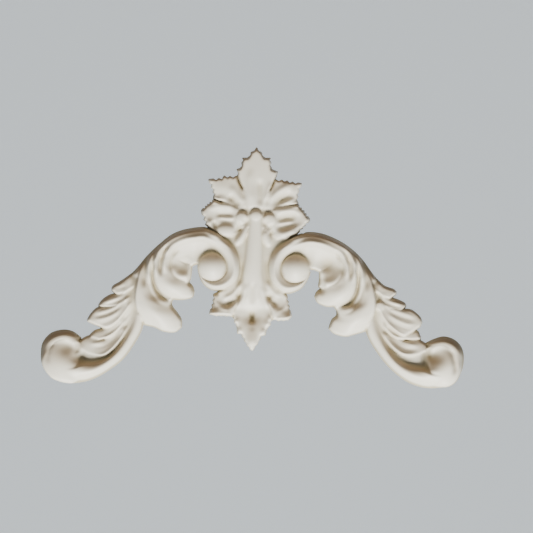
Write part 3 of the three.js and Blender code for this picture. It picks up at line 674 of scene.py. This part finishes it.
dome((77.6, -22.2), (3.6, 3.6), 9.8, 10.2, soft=1.5, merge=0.8, widen=False)

# Stem. A plain rounded column, sunk between the two scrolls, that spreads at its foot into the
# ribs of the pendant leaf.
strips(
    a=[
        [(8, -7), (15, -11.4), (21.4, -14.2), (25.5, -16.4), (25.9, -21.4), (27.5, -27.2)],
        [(8, -7), (13.5, -11.4), (18, -14), (20.7, -16.6), (21.9, -21.4), (23.2, -27.4)],
    ],
    b=[
        [(6, -18), (10, -25), (13.4, -30.5), (19.4, -30.1), (24, -30.3), (27.7, -28.9)],
        [(6, -18), (9, -25), (11.6, -31.9), (15, -32.6), (21.2, -32.3), (23.8, -29.4)],
    ],
    net=[[9, 8.2, 8.8, 10.8, 10]] * 2,
    cornered=True,
    soft=(1, 1, 6, 1),
)
strip(
    a=[
        (-9, -16), (-13, -26), (-13.2, -30.4), (-12, -34.4), (-10.6, -36.6), (-10.2, -40.6), (-7.8, -41.4),
        (-5.2, -46.2), (-2.9, -49.7), (-1.1, -51),
    ],
    b=[
        (8, -16), (11.6, -26), (11.6, -31.6), (10.4, -35.8), (8.3, -37.8), (7.6, -41.2), (5.1, -42.4),
        (3.7, -45.6), (1.6, -48.8), (-0.1, -51),
    ],
    net=[[8.6, 9.2, 9, 9.2, 8.6]] * 2,
    cornered=True,
    soft=(1, 1, 4, 0),
)
strip(
    a=[(-4, 35), (-5, 25), (-6.4, 12), (-7.9, -2), (-8.6, -11), (-11, -20), (-13, -29)],
    b=[(4.4, 35), (5.2, 25), (5.6, 12), (5.8, -2), (7.6, -11), (9.6, -20), (11.4, -29)],
    net=[
        [10.4, 11.6, 12, 11.6, 10.4],
        [10, 11.8, 12.4, 11.8, 10],
        [9.6, 11.8, 12.6, 11.8, 9.6],
        [9.4, 11.6, 12.2, 11.6, 9.4],
        [9.2, 10, 10.2, 10, 9.2],
        [8, 8.2, 8.2, 8.2, 8],
    ],
    soft=(2.2, 2.2, 2, 5),
)
score([(-8.4, 6), (-8.6, -1), (-9.4, -8), (-12, -13)], 1.2, -1.4)
score([(7.6, 8), (7.8, 0), (8.8, -7), (11.4, -12.4)], 1.6, -0.9)
score([(-7.6, -7), (-10.4, -13), (-14.4, -17), (-20.6, -20)], 1.4, 1.3)
score([(7.4, -7), (9.6, -12), (13, -15.6), (17.6, -18)], 1.3, 1)
score([(-6.6, -11), (-9.4, -17.6), (-13.6, -21.4), (-20.6, -23.6)], 2, (-0.8, -2.6, -3, -1.4))
score([(7.6, -14), (9.6, -18.6), (12.4, -21.8), (15.6, -24)], 1.9, (-0.6, -2.4, -2.8, -1.2))
score([(-4.6, -9), (-6.6, -16), (-9, -22), (-11.6, -26.6)], 1.3, 1)
score([(4.4, -10), (5.8, -16), (7.4, -21.4), (9.4, -26)], 1.2, 0.8)
score([(-1.2, -8), (-1.2, -16), (-1.2, -24)], 1.3, -0.7)
score([(-2.4, -8), (-3.8, -16), (-4.6, -22)], 1.1, 0.5)
score([(0.8, -9), (1.8, -16), (2.8, -22)], 1.1, 0.4)
dent((-1, -29), (8, 5), -3)
dent((-1, -47), (5, 7), 2)
score([(-1.2, -26), (-1.1, -30.6), (-1, -35)], 1.5, -2.8)
score([(-1, -36), (-0.9, -43), (-0.7, -49)], 2.2, 0.7)
for tooth in ((-9.4, -38.8), (-11, -33), (6.4, -39.2), (8.8, -34.4), (10, -31)):
    dent(tooth, (1.9, 2.1), 1.5)
score([(-26.4, -28.2), (-21, -28.4), (-16, -28.6), (-13, -28.8)], 1.1, 0.9, (0.1, 0.2))
score([(22.6, -30), (18, -30.8), (13.4, -30.6)], 1.1, 0.9, (0.1, 0.2))
score([(-25, -17.6), (-23.6, -16.6), (-21.6, -15.8)], 1.2, -1.8)
FOOT_NICKS = [
    ([(-25.4, -17.4), (-25.9, -21.4), (-27.3, -26)], 3, 0.8),
    ([(21, -17.6), (21.9, -21.4), (23, -26)], 3, 0.7),
    ([(-26, -30), (-19.4, -30.1), (-14, -30.5)], 4, 0.5),
    ([(22, -32), (15, -32.6), (12, -32)], 3, 0.5),
    ([(-9.8, -41), (-7.8, -41.4), (-5.2, -46.2), (-2, -50.4)], 4, 0.6),
    ([(7.2, -41.6), (3.7, -45.6), (1, -50)], 3, 0.6),
    ([(-13, -31), (-10.8, -36)], 2, 0.7),
    ([(11.4, -32), (8.6, -37.2)], 2, 0.7),
]
for edge, count, depth in FOOT_NICKS:
    nick(edge, count, depth)
score([(-24.6, -20), (-20, -24.4), (-14.4, -26.4)], 1.2, 0.8)
score([(20.6, -20), (18.6, -24.6), (13, -27)], 1.1, 0.6)

# Palmette. Five broad lobes with nicked edges spread from behind the knob; each has its own hollows
# and swellings, and the lowest pair lies over the arches.
strips(
    a=[[
        (3, 38), (6.5, 46.5), (10.6, 53.4), (11.8, 57), (15.6, 56.8), (20.4, 57), (21.8, 55.6),
        (29.3, 54.7),
    ], [
        (3, 38), (7.6, 46.6), (10.4, 52.6), (11.4, 55.1), (16.8, 55.1), (21, 54.2), (28.2, 53.2),
    ]],
    b=[
        [(8, 34), (13, 38), (19, 39.6), (23.4, 41), (26.4, 42), (26.9, 46.6), (28.1, 50), (29.7, 53.9)],
        [(8, 34), (13, 38), (20, 38.2), (26.5, 39.6), (26.3, 44.4), (26.8, 47.8), (28.4, 52.2)],
    ],
    net=level(9),
    cornered=True,
    soft=(1, 1, 3, 0),
)
strip(
    a=[
        (-5, 33), (-7.5, 46), (-10.2, 52), (-11.8, 56.5), (-12.4, 61), (-10.4, 61.7), (-9.5, 64.5),
        (-9, 68.2), (-5.6, 68.3), (-4, 71.4), (-0.4, 74.6),
    ],
    b=[
        (4, 33), (8.6, 47), (11.2, 53.5), (12.6, 56.4), (13.5, 60), (9.8, 61.4), (9.3, 65.1), (8.9, 68.5),
        (5.2, 68.4), (4.2, 70.6), (0.4, 74.6),
    ],
    net=level(9.8),
    cornered=True,
    soft=(1.4, 1.2, 3, 0),
)
strips(
    a=[
        [(8, 36), (14, 39), (20.4, 40.6), (26.4, 42.1), (30.7, 38.9), (33.8, 35.4)],
        [(8, 36), (15, 38.4), (20.5, 39.6), (26.4, 40.1), (30.2, 36.2), (33.8, 31.2)],
    ],
    b=[
        [(9, 24), (14, 18.8), (20, 18.4), (26.4, 22.6), (31.2, 26.2), (33.9, 34.4)],
        [(8, 23), (13, 17.6), (19, 17.8), (25.6, 20.8), (30.4, 25.6), (33.9, 30.2)],
    ],
    net=[[10.2, 10.8, 10.8], [8.8, 9.6, 9.8]],
    cornered=True,
    soft=(1.8, 1, 3, 0),
)
LOBE_NICKS = [
    ([(-12.4, 61), (-11.8, 56.5)], 1, 0.7),
    ([(-9, 68.2), (-9.5, 64.5), (-10.4, 61.7)], 2, 0.8),
    ([(-0.4, 74.6), (-4, 71.4), (-5.6, 68.3)], 2, 0.7),
    ([(0.4, 74.6), (4.2, 70.6), (5.2, 68.4)], 2, 0.7),
    ([(8.9, 68.5), (9.3, 65.1), (9.6, 62.2)], 2, 0.7),
    ([(-26.6, 55.1), (-21.8, 55.6), (-12.6, 56.8)], 4, 1.1),
    ([(-29.2, 52), (-28.1, 50), (-26.5, 43.6)], 3, 0.9),
    ([(26, 53.6), (21, 54.2), (12.4, 55.1)], 4, 1),
    ([(28, 51), (26.8, 47.8), (26.4, 41)], 3, 0.9),
    ([(-27, 41.6), (-30.7, 38.9), (-32.8, 36.6)], 4, 1),
    ([(-33.2, 32.4), (-31.2, 26.2)], 2, 1.3),
    ([(27, 39.5), (30.2, 36.2), (33, 32.4)], 4, 0.7),
    ([(32.6, 28.6), (30.4, 25.6), (27.6, 22.8)], 3, 0.8),
]
for edge, count, depth in LOBE_NICKS:
    nick(edge, count, depth)
dent((-0.4, 57), (8, 14), 0.9)
dent((-20, 49), (7, 4.5), 0.8)
dent((20, 48), (7, 4), 0.8)
dent((0, 41), (14, 8), 1.2)
for x, z, rise in ((-27, 23.4, 1.8), (26.4, 21.6, 1.8), (-24.4, 41.2, 2.6), (24.6, 39.2, 2)):
    dent((x, z), (3.4, 1.8), rise)
score([(2, 37), (2.6, 43), (2.4, 50), (1.8, 56)], 2, -1.5)
score([(-2.2, 38), (-3.6, 46), (-4, 54), (-3, 62)], 2.2, 0.7)
score([(6, 40), (8.4, 48), (10, 54)], 1.6, 1.1)
score([(-6.4, 41), (-8.6, 48), (-10.4, 54)], 1.6, -0.6)
score([(5.2, 37), (8.6, 45.4), (11, 52), (12, 55)], 1.6, -0.7)
score([(-9.6, 37.6), (-13.4, 41.6), (-17.4, 45)], 1.8, -1.3)
score([(-7.6, 38.6), (-11.6, 44.6), (-17, 50.6)], 2.2, 0.8)
score([(-13, 38.4), (-18.6, 41.4), (-24, 44.6)], 1.6, 0.7)
score([(-11, 36.4), (-16, 39.4), (-21.6, 40.4), (-26.4, 41.8)], 1.3, -0.3)
score([(9.6, 37), (14, 41.4), (20.4, 45.4), (24, 47.6)], 2.6, (-1.2, -2.2, -1.2))
score([(7.6, 39.6), (12.4, 46), (19, 50.6), (24, 52)], 2, 1.2)
score([(12.6, 38.2), (19, 41), (25.4, 43.6)], 1.3, 1.2)
score([(12, 36.8), (17, 38), (22, 38.8), (26.4, 39.6)], 1.3, -0.3)
score([(-12, 36.6), (-18, 38), (-24, 37.6), (-31, 35.2)], 2, 1.2)
score([(-11.6, 32.6), (-18, 32.8), (-26, 32.4)], 1.8, -1.3)
score([(-12, 30.6), (-18, 30.4), (-25, 31)], 1.2, 0.8)
score([(-11.6, 28), (-17, 28.8), (-23.6, 29.8)], 1.5, -0.8)
score([(-24.6, 22.6), (-25, 26), (-26.8, 28.8)], 1.2, -1.6)
dome((-18.1, 22.9), (7.2, 4.9), 9.8, 12.5, soft=1.8, widen=False, power=0.7)
dent((-28, 27.4), (2.4, 2.2), 1.8)
score([(12, 34.2), (18, 35.6), (24, 35.6), (30, 33)], 1.8, 1.3)
score([(11.6, 28.6), (16, 30.4), (21, 31.4), (27, 31.4)], 2.5, (-1.4, -2.6, -1.8))
score([(13, 27.2), (19, 28.4), (25, 29)], 1, 0.8)
score([(11, 25), (16, 25.6), (22, 27.2), (27.6, 28.4)], 2, (-1.8, -1.9, -0.9))
score([(12, 21.6), (18, 21.4), (24, 24.4), (30, 28.4)], 1.8, 1.4)

# Knob and curls. The neck of the stem ends in a rounded knob with a small curl on each side, here a
# round boss with a hollow beside it, and a pointed blade hangs below each curl along the neck.
dome((-1, 27), (15, 10), 9, 10.8, soft=5, merge=0.6, widen=False)
KNOB_CREASE = [(-12, 33.2), (-8.6, 35.4), (-4, 36), (0.4, 36.8), (4.6, 35.8), (8.6, 35), (12.4, 32.6)]
score(KNOB_CREASE, 1.2, -0.6, (0.15, 0.15))
strips(
    a=[
        [(7.6, 26.6), (10, 22), (13.2, 17.5), (13, 14)],
        [(8.2, 26), (9.4, 22), (11.2, 17.6), (10.6, 13.6)],
    ],
    b=[
        [(4, 27), (4.8, 21), (7, 16), (11, 13)],
        [(4.6, 26), (3.8, 20.4), (4.6, 16), (7.6, 12.6)],
    ],
    net=[[10.4, 11.2, 11], [9.4, 11.8, 11], [8.8, 10.8, 9.6]],
    soft=(1.6, 1.4, 5, 2),
)
score([(-8.8, 27), (-10.4, 24.6), (-13, 21)], 1.2, -1.2)
score([(7.8, 25.6), (9.8, 23.4), (12, 20.4)], 1.2, -1)
for x, z, sign in ((-8.4, 30.9, -1), (8.6, 30.2, 1)):
    dome((x, z), (4, 4), 10.6, 12.4, soft=0.8, power=0.4)
    dent((x - sign * 2.5, z - 2.6), (1.9, 2), -1.3)

# The pits between the blades and the neck are filled a little.
for pit in ((-5.6, 23.4), (8.2, 22.8)):
    dome(pit, (1.8, 2.6), 10.8, 11.2, soft=1.2, merge=0.8, widen=False)
dome((0.3, 32.6), (4.2, 3.8), 10.8, 13.2, soft=1, merge=1.4, power=0.45)

# The surface of the casting. The mould leaves no sharp edge, so the whole relief is softened a
# little and its rim is rounded over; the walls drop straight to the flat back.
SOFTNESS = 0.42
ROUND = 2.2
ROUND_DROP = 1.8
WALL_RINGS = 3
SHARP = math.radians(60)
front = soften(SOFTNESS, front)
rim = np.clip(reach / ROUND, 0, 1)
front -= ROUND_DROP * (1 - np.sqrt(1 - (1 - rim) ** 2))
front *= DEPTH / front[reach > 0].max()


def clipped(reach):
    """Triangles over the grid where reach is positive, cut along the line where it is zero.

    Returns the rows and the columns of its places, as fractions, and the triangles. Every grid square
    is two triangles; a triangle with one or two corners outside is cut at reach = 0 on its sides.
    """
    height, width = reach.shape
    number = np.arange(height * width).reshape(height, width)
    a, b, c, d = number[:-1, :-1], number[:-1, 1:], number[1:, 1:], number[1:, :-1]
    triangles = np.concatenate([np.stack([a, b, c], -1), np.stack([a, c, d], -1)]).reshape(-1, 3)
    flat = reach.ravel()
    inside = flat[triangles] > 0
    count = inside.sum(1)

    def lone_first(chosen, lone):
        """The chosen triangles, each turned so that the corner alone on its side of the line is first."""
        turn = lone[chosen].argmax(1)[:, None] + np.arange(3)
        return np.take_along_axis(triangles[chosen], turn % 3, 1)

    one, two = lone_first(count == 1, inside), lone_first(count == 2, ~inside)
    ends = np.concatenate([one[:, :2], one[:, ::2], two[:, :2], two[:, ::2]])
    sides, cut = np.unique(np.sort(ends, axis=1), axis=0, return_inverse=True)
    first, second = sides.T
    share = flat[first] / (flat[first] - flat[second])
    groups = np.cumsum([len(one), len(one), len(two)])
    one_ab, one_ac, two_ab, two_ac = np.split(number.size + cut.ravel(), groups)
    faces = np.concatenate([
        triangles[count == 3],
        np.stack([one[:, 0], one_ab, one_ac], -1),
        np.stack([two_ab, two[:, 1], two[:, 2]], -1),
        np.stack([two_ab, two[:, 2], two_ac], -1),
    ])
    row = np.r_[number.ravel() // width, first // width + share * (second // width - first // width)]
    column = np.r_[number.ravel() % width, first % width + share * (second % width - first % width)]
    used, faces = np.unique(faces, return_inverse=True)
    return row[used], column[used], faces.reshape(-1, 3)


def sample(field, row, column):
    """Bilinear value of a grid field at fractional rows and columns."""
    i = np.minimum(row.astype(int), field.shape[0] - 2)
    j = np.minimum(column.astype(int), field.shape[1] - 2)
    s, t = row - i, column - j
    near = field[i, j] * (1 - t) + field[i, j + 1] * t
    far = field[i + 1, j] * (1 - t) + field[i + 1, j + 1] * t
    return near * (1 - s) + far * s


def outline_order(faces):
    """Loops of vertices round the open edge of a sheet, following the direction of its faces."""
    sides = np.concatenate([faces[:, [0, 1]], faces[:, [1, 2]], faces[:, [2, 0]]])
    known = set(map(tuple, sides))
    follow = {a: b for a, b in map(tuple, sides) if (b, a) not in known}
    loops = []
    while follow:
        start, current = next(iter(follow.items()))
        loop = [start]
        del follow[start]
        while current != start:
            loop.append(current)
            current = follow.pop(current)
        loops.append(np.array(loop))
    return loops


def fitted(values, axis):
    """Places along an axis, moved and stretched to span the solid's own box exactly."""
    scale = (high[axis] - low[axis]) / (values.max() - values.min())
    return low[axis] + (values - values.min()) * scale


row, column, faces = clipped(reach)
x = fitted(grid_x[0] + column * CELL, 0)
z = fitted(grid_z[0] + row * CELL, 2)
rise = sample(front, row, column)
points = [np.column_stack([x, -rise, z])]
loops = outline_order(faces)
faces = [faces]
total = len(x)
for loop in loops:
    above = loop
    for ring in range(1, WALL_RINGS + 1):
        ring_points = points[0][loop].copy()
        ring_points[:, 1] *= 1 - ring / WALL_RINGS
        below = total + np.arange(len(loop))
        points.append(ring_points)
        total += len(loop)
        ahead, after = np.roll(above, -1), np.roll(below, -1)
        faces.append(np.stack([above, below, after], -1))
        faces.append(np.stack([above, after, ahead], -1))
        above = below
    back = tessellate_polygon([[Vector((px, pz, 0)) for px, pz in zip(x[loop], z[loop])]])
    faces.append(below[np.array(back)])
points = np.concatenate(points)
faces = np.concatenate(faces)

mesh = bpy.data.meshes.new("moulding_corner_casting")
mesh.from_pydata((points * MM).tolist(), [], faces.tolist())
mesh.validate()
casting = bpy.data.objects.new("moulding_corner_casting", mesh)
bpy.context.scene.collection.objects.link(casting)
mesh.shade_smooth()
mesh.set_sharp_from_angle(angle=SHARP)


# Painted shade. The hollows, wide ones and narrow ones, the flanks that look upwards and the upper edge of
# the outline are painted darker where shade falls on them under the low lamp.
# The finish reads both fields from the mesh.
def attach(name, field):
    """Keeps a grid field as a value of every vertex: the walls take their edge's value, the back has 0."""
    values = np.zeros(len(points))
    values[: len(row)] = sample(field, row, column)
    start = len(row)
    for loop in loops:
        for ring in range(1, WALL_RINGS + 1):
            values[start : start + len(loop)] = values[loop] * (ring < WALL_RINGS)
            start += len(loop)
    layer = mesh.attributes.new(name, "FLOAT", "POINT")
    layer.data.foreach_set("value", values.astype(np.float32))


def sunk(sigma, depth, most=1.0):
    """How far a place lies below the blurred relief round it, as a share of depth, up to most."""
    return np.clip((soften(sigma, front) - front) / depth, 0, most)


UPPER_EDGE_SHADING = 0.65
EDGE_WIDTH = 3.0
# Painted shade: the hollows, wide and narrow, are darkened where shade gathers in them.
hollow = np.maximum(sunk(3.2, 2.0), sunk(1.0, 0.8, most=0.6))
# Painted shade: the flanks that look upwards and the upper edge of the outline are darkened as the low lamp
# leaves them in shade.
fall = -np.gradient(front, CELL, axis=0)
upper = soften(1.0, np.clip(1.3 * fall / np.hypot(fall, 1), 0, 1))
facing_up = np.clip(-np.gradient(reach, CELL, axis=0), 0, 1)
upper_edge_shade = UPPER_EDGE_SHADING * np.clip(1 - reach / EDGE_WIDTH, 0, 1) * facing_up
upper = np.maximum(upper, soften(0.5, upper_edge_shade))
attach("hollow", hollow)
attach("upper", upper)


# Ivory finish. The casting resin is off-white with a soft satin skin; it is a little mottled and has a faint
# orange-peel surface, and painted shade makes it warm brown on the flanks that look upwards and olive in the
# hollows.
class Socket:
    """A shader value that adds its own Math nodes when it is used in a sum or a product."""

    def __init__(self, tree, link):
        self.tree = tree
        self.link = link

    def node(self, kind, output=0, settings=None, **inputs):
        """A new node of a kind, with its settings set first and its inputs given a value or a link."""
        new = self.tree.nodes.new(kind)
        for name, value in (settings or {}).items():
            setattr(new, name, value)
        for name, value in inputs.items():
            key = int(name[1:]) if name[1:].isdigit() else name.replace("_", " ")
            if isinstance(value, Socket):
                self.tree.links.new(value.link, new.inputs[key])
            else:
                new.inputs[key].default_value = value
        return Socket(self.tree, new.outputs[output])

    def maths(self, operation, a, b):
        """One Math node of two values."""
        return self.node("ShaderNodeMath", settings={"operation": operation}, i0=a, i1=b)

    def __add__(self, other):
        return self.maths("ADD", self, other)

    def __radd__(self, other):
        return self.maths("ADD", other, self)

    def __sub__(self, other):
        return self.maths("SUBTRACT", self, other)

    def __rsub__(self, other):
        return self.maths("SUBTRACT", other, self)

    def __mul__(self, other):
        return self.maths("MULTIPLY", self, other)

    def __rmul__(self, other):
        return self.maths("MULTIPLY", other, self)


IVORY = (0.82, 0.785, 0.645, 1)
CREAM = (0.75, 0.71, 0.59, 1)
UPPER_SHADE_BROWN = (0.38, 0.255, 0.13, 1)
HOLLOW_SHADE_OLIVE = (0.34, 0.285, 0.16, 1)
ivory = bpy.data.materials.new("ivory_resin")
ivory.use_nodes = True
tree = ivory.node_tree
shader = tree.nodes["Principled BSDF"]
space = Socket(tree, tree.nodes.new("ShaderNodeTexCoord").outputs["Object"])
mottle = space.node("ShaderNodeTexNoise", Vector=space, Scale=42.0, Detail=4.0, Roughness=0.6)
cloud = space.node("ShaderNodeTexNoise", Vector=space, Scale=9.0, Detail=2.0, Roughness=0.5)
peel = space.node("ShaderNodeTexNoise", Vector=space, Scale=900.0, Detail=2.0, Roughness=0.5)
hollow_shade = space.node("ShaderNodeAttribute", 2, settings={"attribute_name": "hollow"})
upper_shade = space.node("ShaderNodeAttribute", 2, settings={"attribute_name": "upper"})


def mixed(share, first, second):
    """A colour between two others."""
    return share.node("ShaderNodeMix", 2, settings={"data_type": "RGBA"}, i0=share, i6=first, i7=second)


colour = mixed(mottle * 0.5 + cloud * 0.3, IVORY, CREAM)
# Painted shade in brown on the flanks that look upwards and on the upper edge of the outline.
colour = mixed(upper_shade * (0.85 + 0.4 * cloud), colour, UPPER_SHADE_BROWN)
# Painted shade in olive in the hollows; the same mask also makes them a little rougher.
colour = mixed(hollow_shade * 0.75, colour, HOLLOW_SHADE_OLIVE)
tree.links.new(colour.link, shader.inputs["Base Color"])
roughness = 0.40 + 0.12 * mottle + 0.15 * hollow_shade
tree.links.new(roughness.link, shader.inputs["Roughness"])
bump = space.node("ShaderNodeBump", Strength=0.10, Distance=0.0002, Height=peel + 2.0 * mottle)
tree.links.new(bump.link, shader.inputs["Normal"])
shader.inputs["Specular IOR Level"].default_value = 0.42
mesh.materials.append(ivory)
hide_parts("moulding_corner")
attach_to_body(casting, "root")

# Floor. A pale sweep below and behind the moulding, which is shown as it hangs on its back face.
FLOOR_DROP = 1.5
SWEEP_RADIUS = 0.8
SWEEP_BEHIND = 3.0
SWEEP_HEIGHT = 6.0
HALF_WIDTH = 6.0
AHEAD = 6.0
angle = np.linspace(0, np.pi / 2, 25)
profile = np.concatenate([
    [(-AHEAD, 0.0)],
    np.column_stack([
        SWEEP_BEHIND - SWEEP_RADIUS + SWEEP_RADIUS * np.sin(angle),
        SWEEP_RADIUS - SWEEP_RADIUS * np.cos(angle),
    ]),
    [(SWEEP_BEHIND, SWEEP_HEIGHT)],
])
sweep_points = [(side, y, z - FLOOR_DROP) for side in (-HALF_WIDTH, HALF_WIDTH) for y, z in profile]
size = len(profile)
sweep_faces = [(k, k + size, k + size + 1, k + 1) for k in range(size - 1)]
sweep_mesh = bpy.data.meshes.new("sweep")
sweep_mesh.from_pydata(sweep_points, [], sweep_faces)
sweep_mesh.shade_smooth()
sweep = bpy.data.objects.new("sweep", sweep_mesh)
bpy.context.scene.collection.objects.link(sweep)
paper = bpy.data.materials.new("sweep_paper")
paper.use_nodes = True
paper_shader = paper.node_tree.nodes["Principled BSDF"]
paper_shader.inputs["Base Color"].default_value = (0.80, 0.86, 0.89, 1)
paper_shader.inputs["Roughness"].default_value = 0.9
paper_shader.inputs["Emission Color"].default_value = (0.90, 0.96, 1.0, 1)
paper_shader.inputs["Emission Strength"].default_value = 0.32
sweep_mesh.materials.append(paper)

# Light. A soft lamp low in front makes the faces that look down the bright ones, as in the
# photograph. A weak warm lamp above keeps the upper flanks brown, a third lamp behind lights the back
# for a view from there, and the room is dim and pale.
world = bpy.data.worlds.new("room")
world.use_nodes = True
background = world.node_tree.nodes["Background"]
background.inputs["Color"].default_value = (0.90, 0.95, 1.0, 1)
background.inputs["Strength"].default_value = 0.14
bpy.context.scene.world = world


def lamp(name, place, size, power, colour):
    """A square area lamp that looks at the middle of the moulding."""
    data = bpy.data.lights.new(name, "AREA")
    data.shape = "SQUARE"
    data.size = size
    data.energy = power
    data.color = colour
    new = bpy.data.objects.new(name, data)
    new.location = place
    new.rotation_euler = (-Vector(place)).to_track_quat("-Z", "Y").to_euler()
    bpy.context.scene.collection.objects.link(new)


lamp("low_key", (0.10, -0.85, -1.1), 0.5, 54, (1.0, 0.985, 0.96))
lamp("high_fill", (-0.2, -0.6, 1.4), 0.8, 5, (1.0, 0.80, 0.60))
lamp("back_fill", (0.6, 2.0, 0.1), 1.0, 16, (1.0, 0.98, 0.95))

# Camera. It looks straight at the front along +Y, tilted by the one degree that the photograph is.
FRAME_WIDTH = 0.3305
AIM = (0.0073, 0.0, 0.0011)
DISTANCE = 1.6
TILT = math.radians(1.0)
camera_data = bpy.data.cameras.new("camera")
camera_data.sensor_width = 36
camera_data.lens = camera_data.sensor_width * DISTANCE / FRAME_WIDTH
camera = bpy.data.objects.new("camera", camera_data)
turned = Matrix((
    (math.cos(TILT), -math.sin(TILT), 0),
    (0, 0, -1),
    (math.sin(TILT), math.cos(TILT), 0),
)).to_4x4()
camera.matrix_world = Matrix.Translation((AIM[0], AIM[1] - DISTANCE, AIM[2])) @ turned
bpy.context.scene.collection.objects.link(camera)
bpy.context.scene.camera = camera
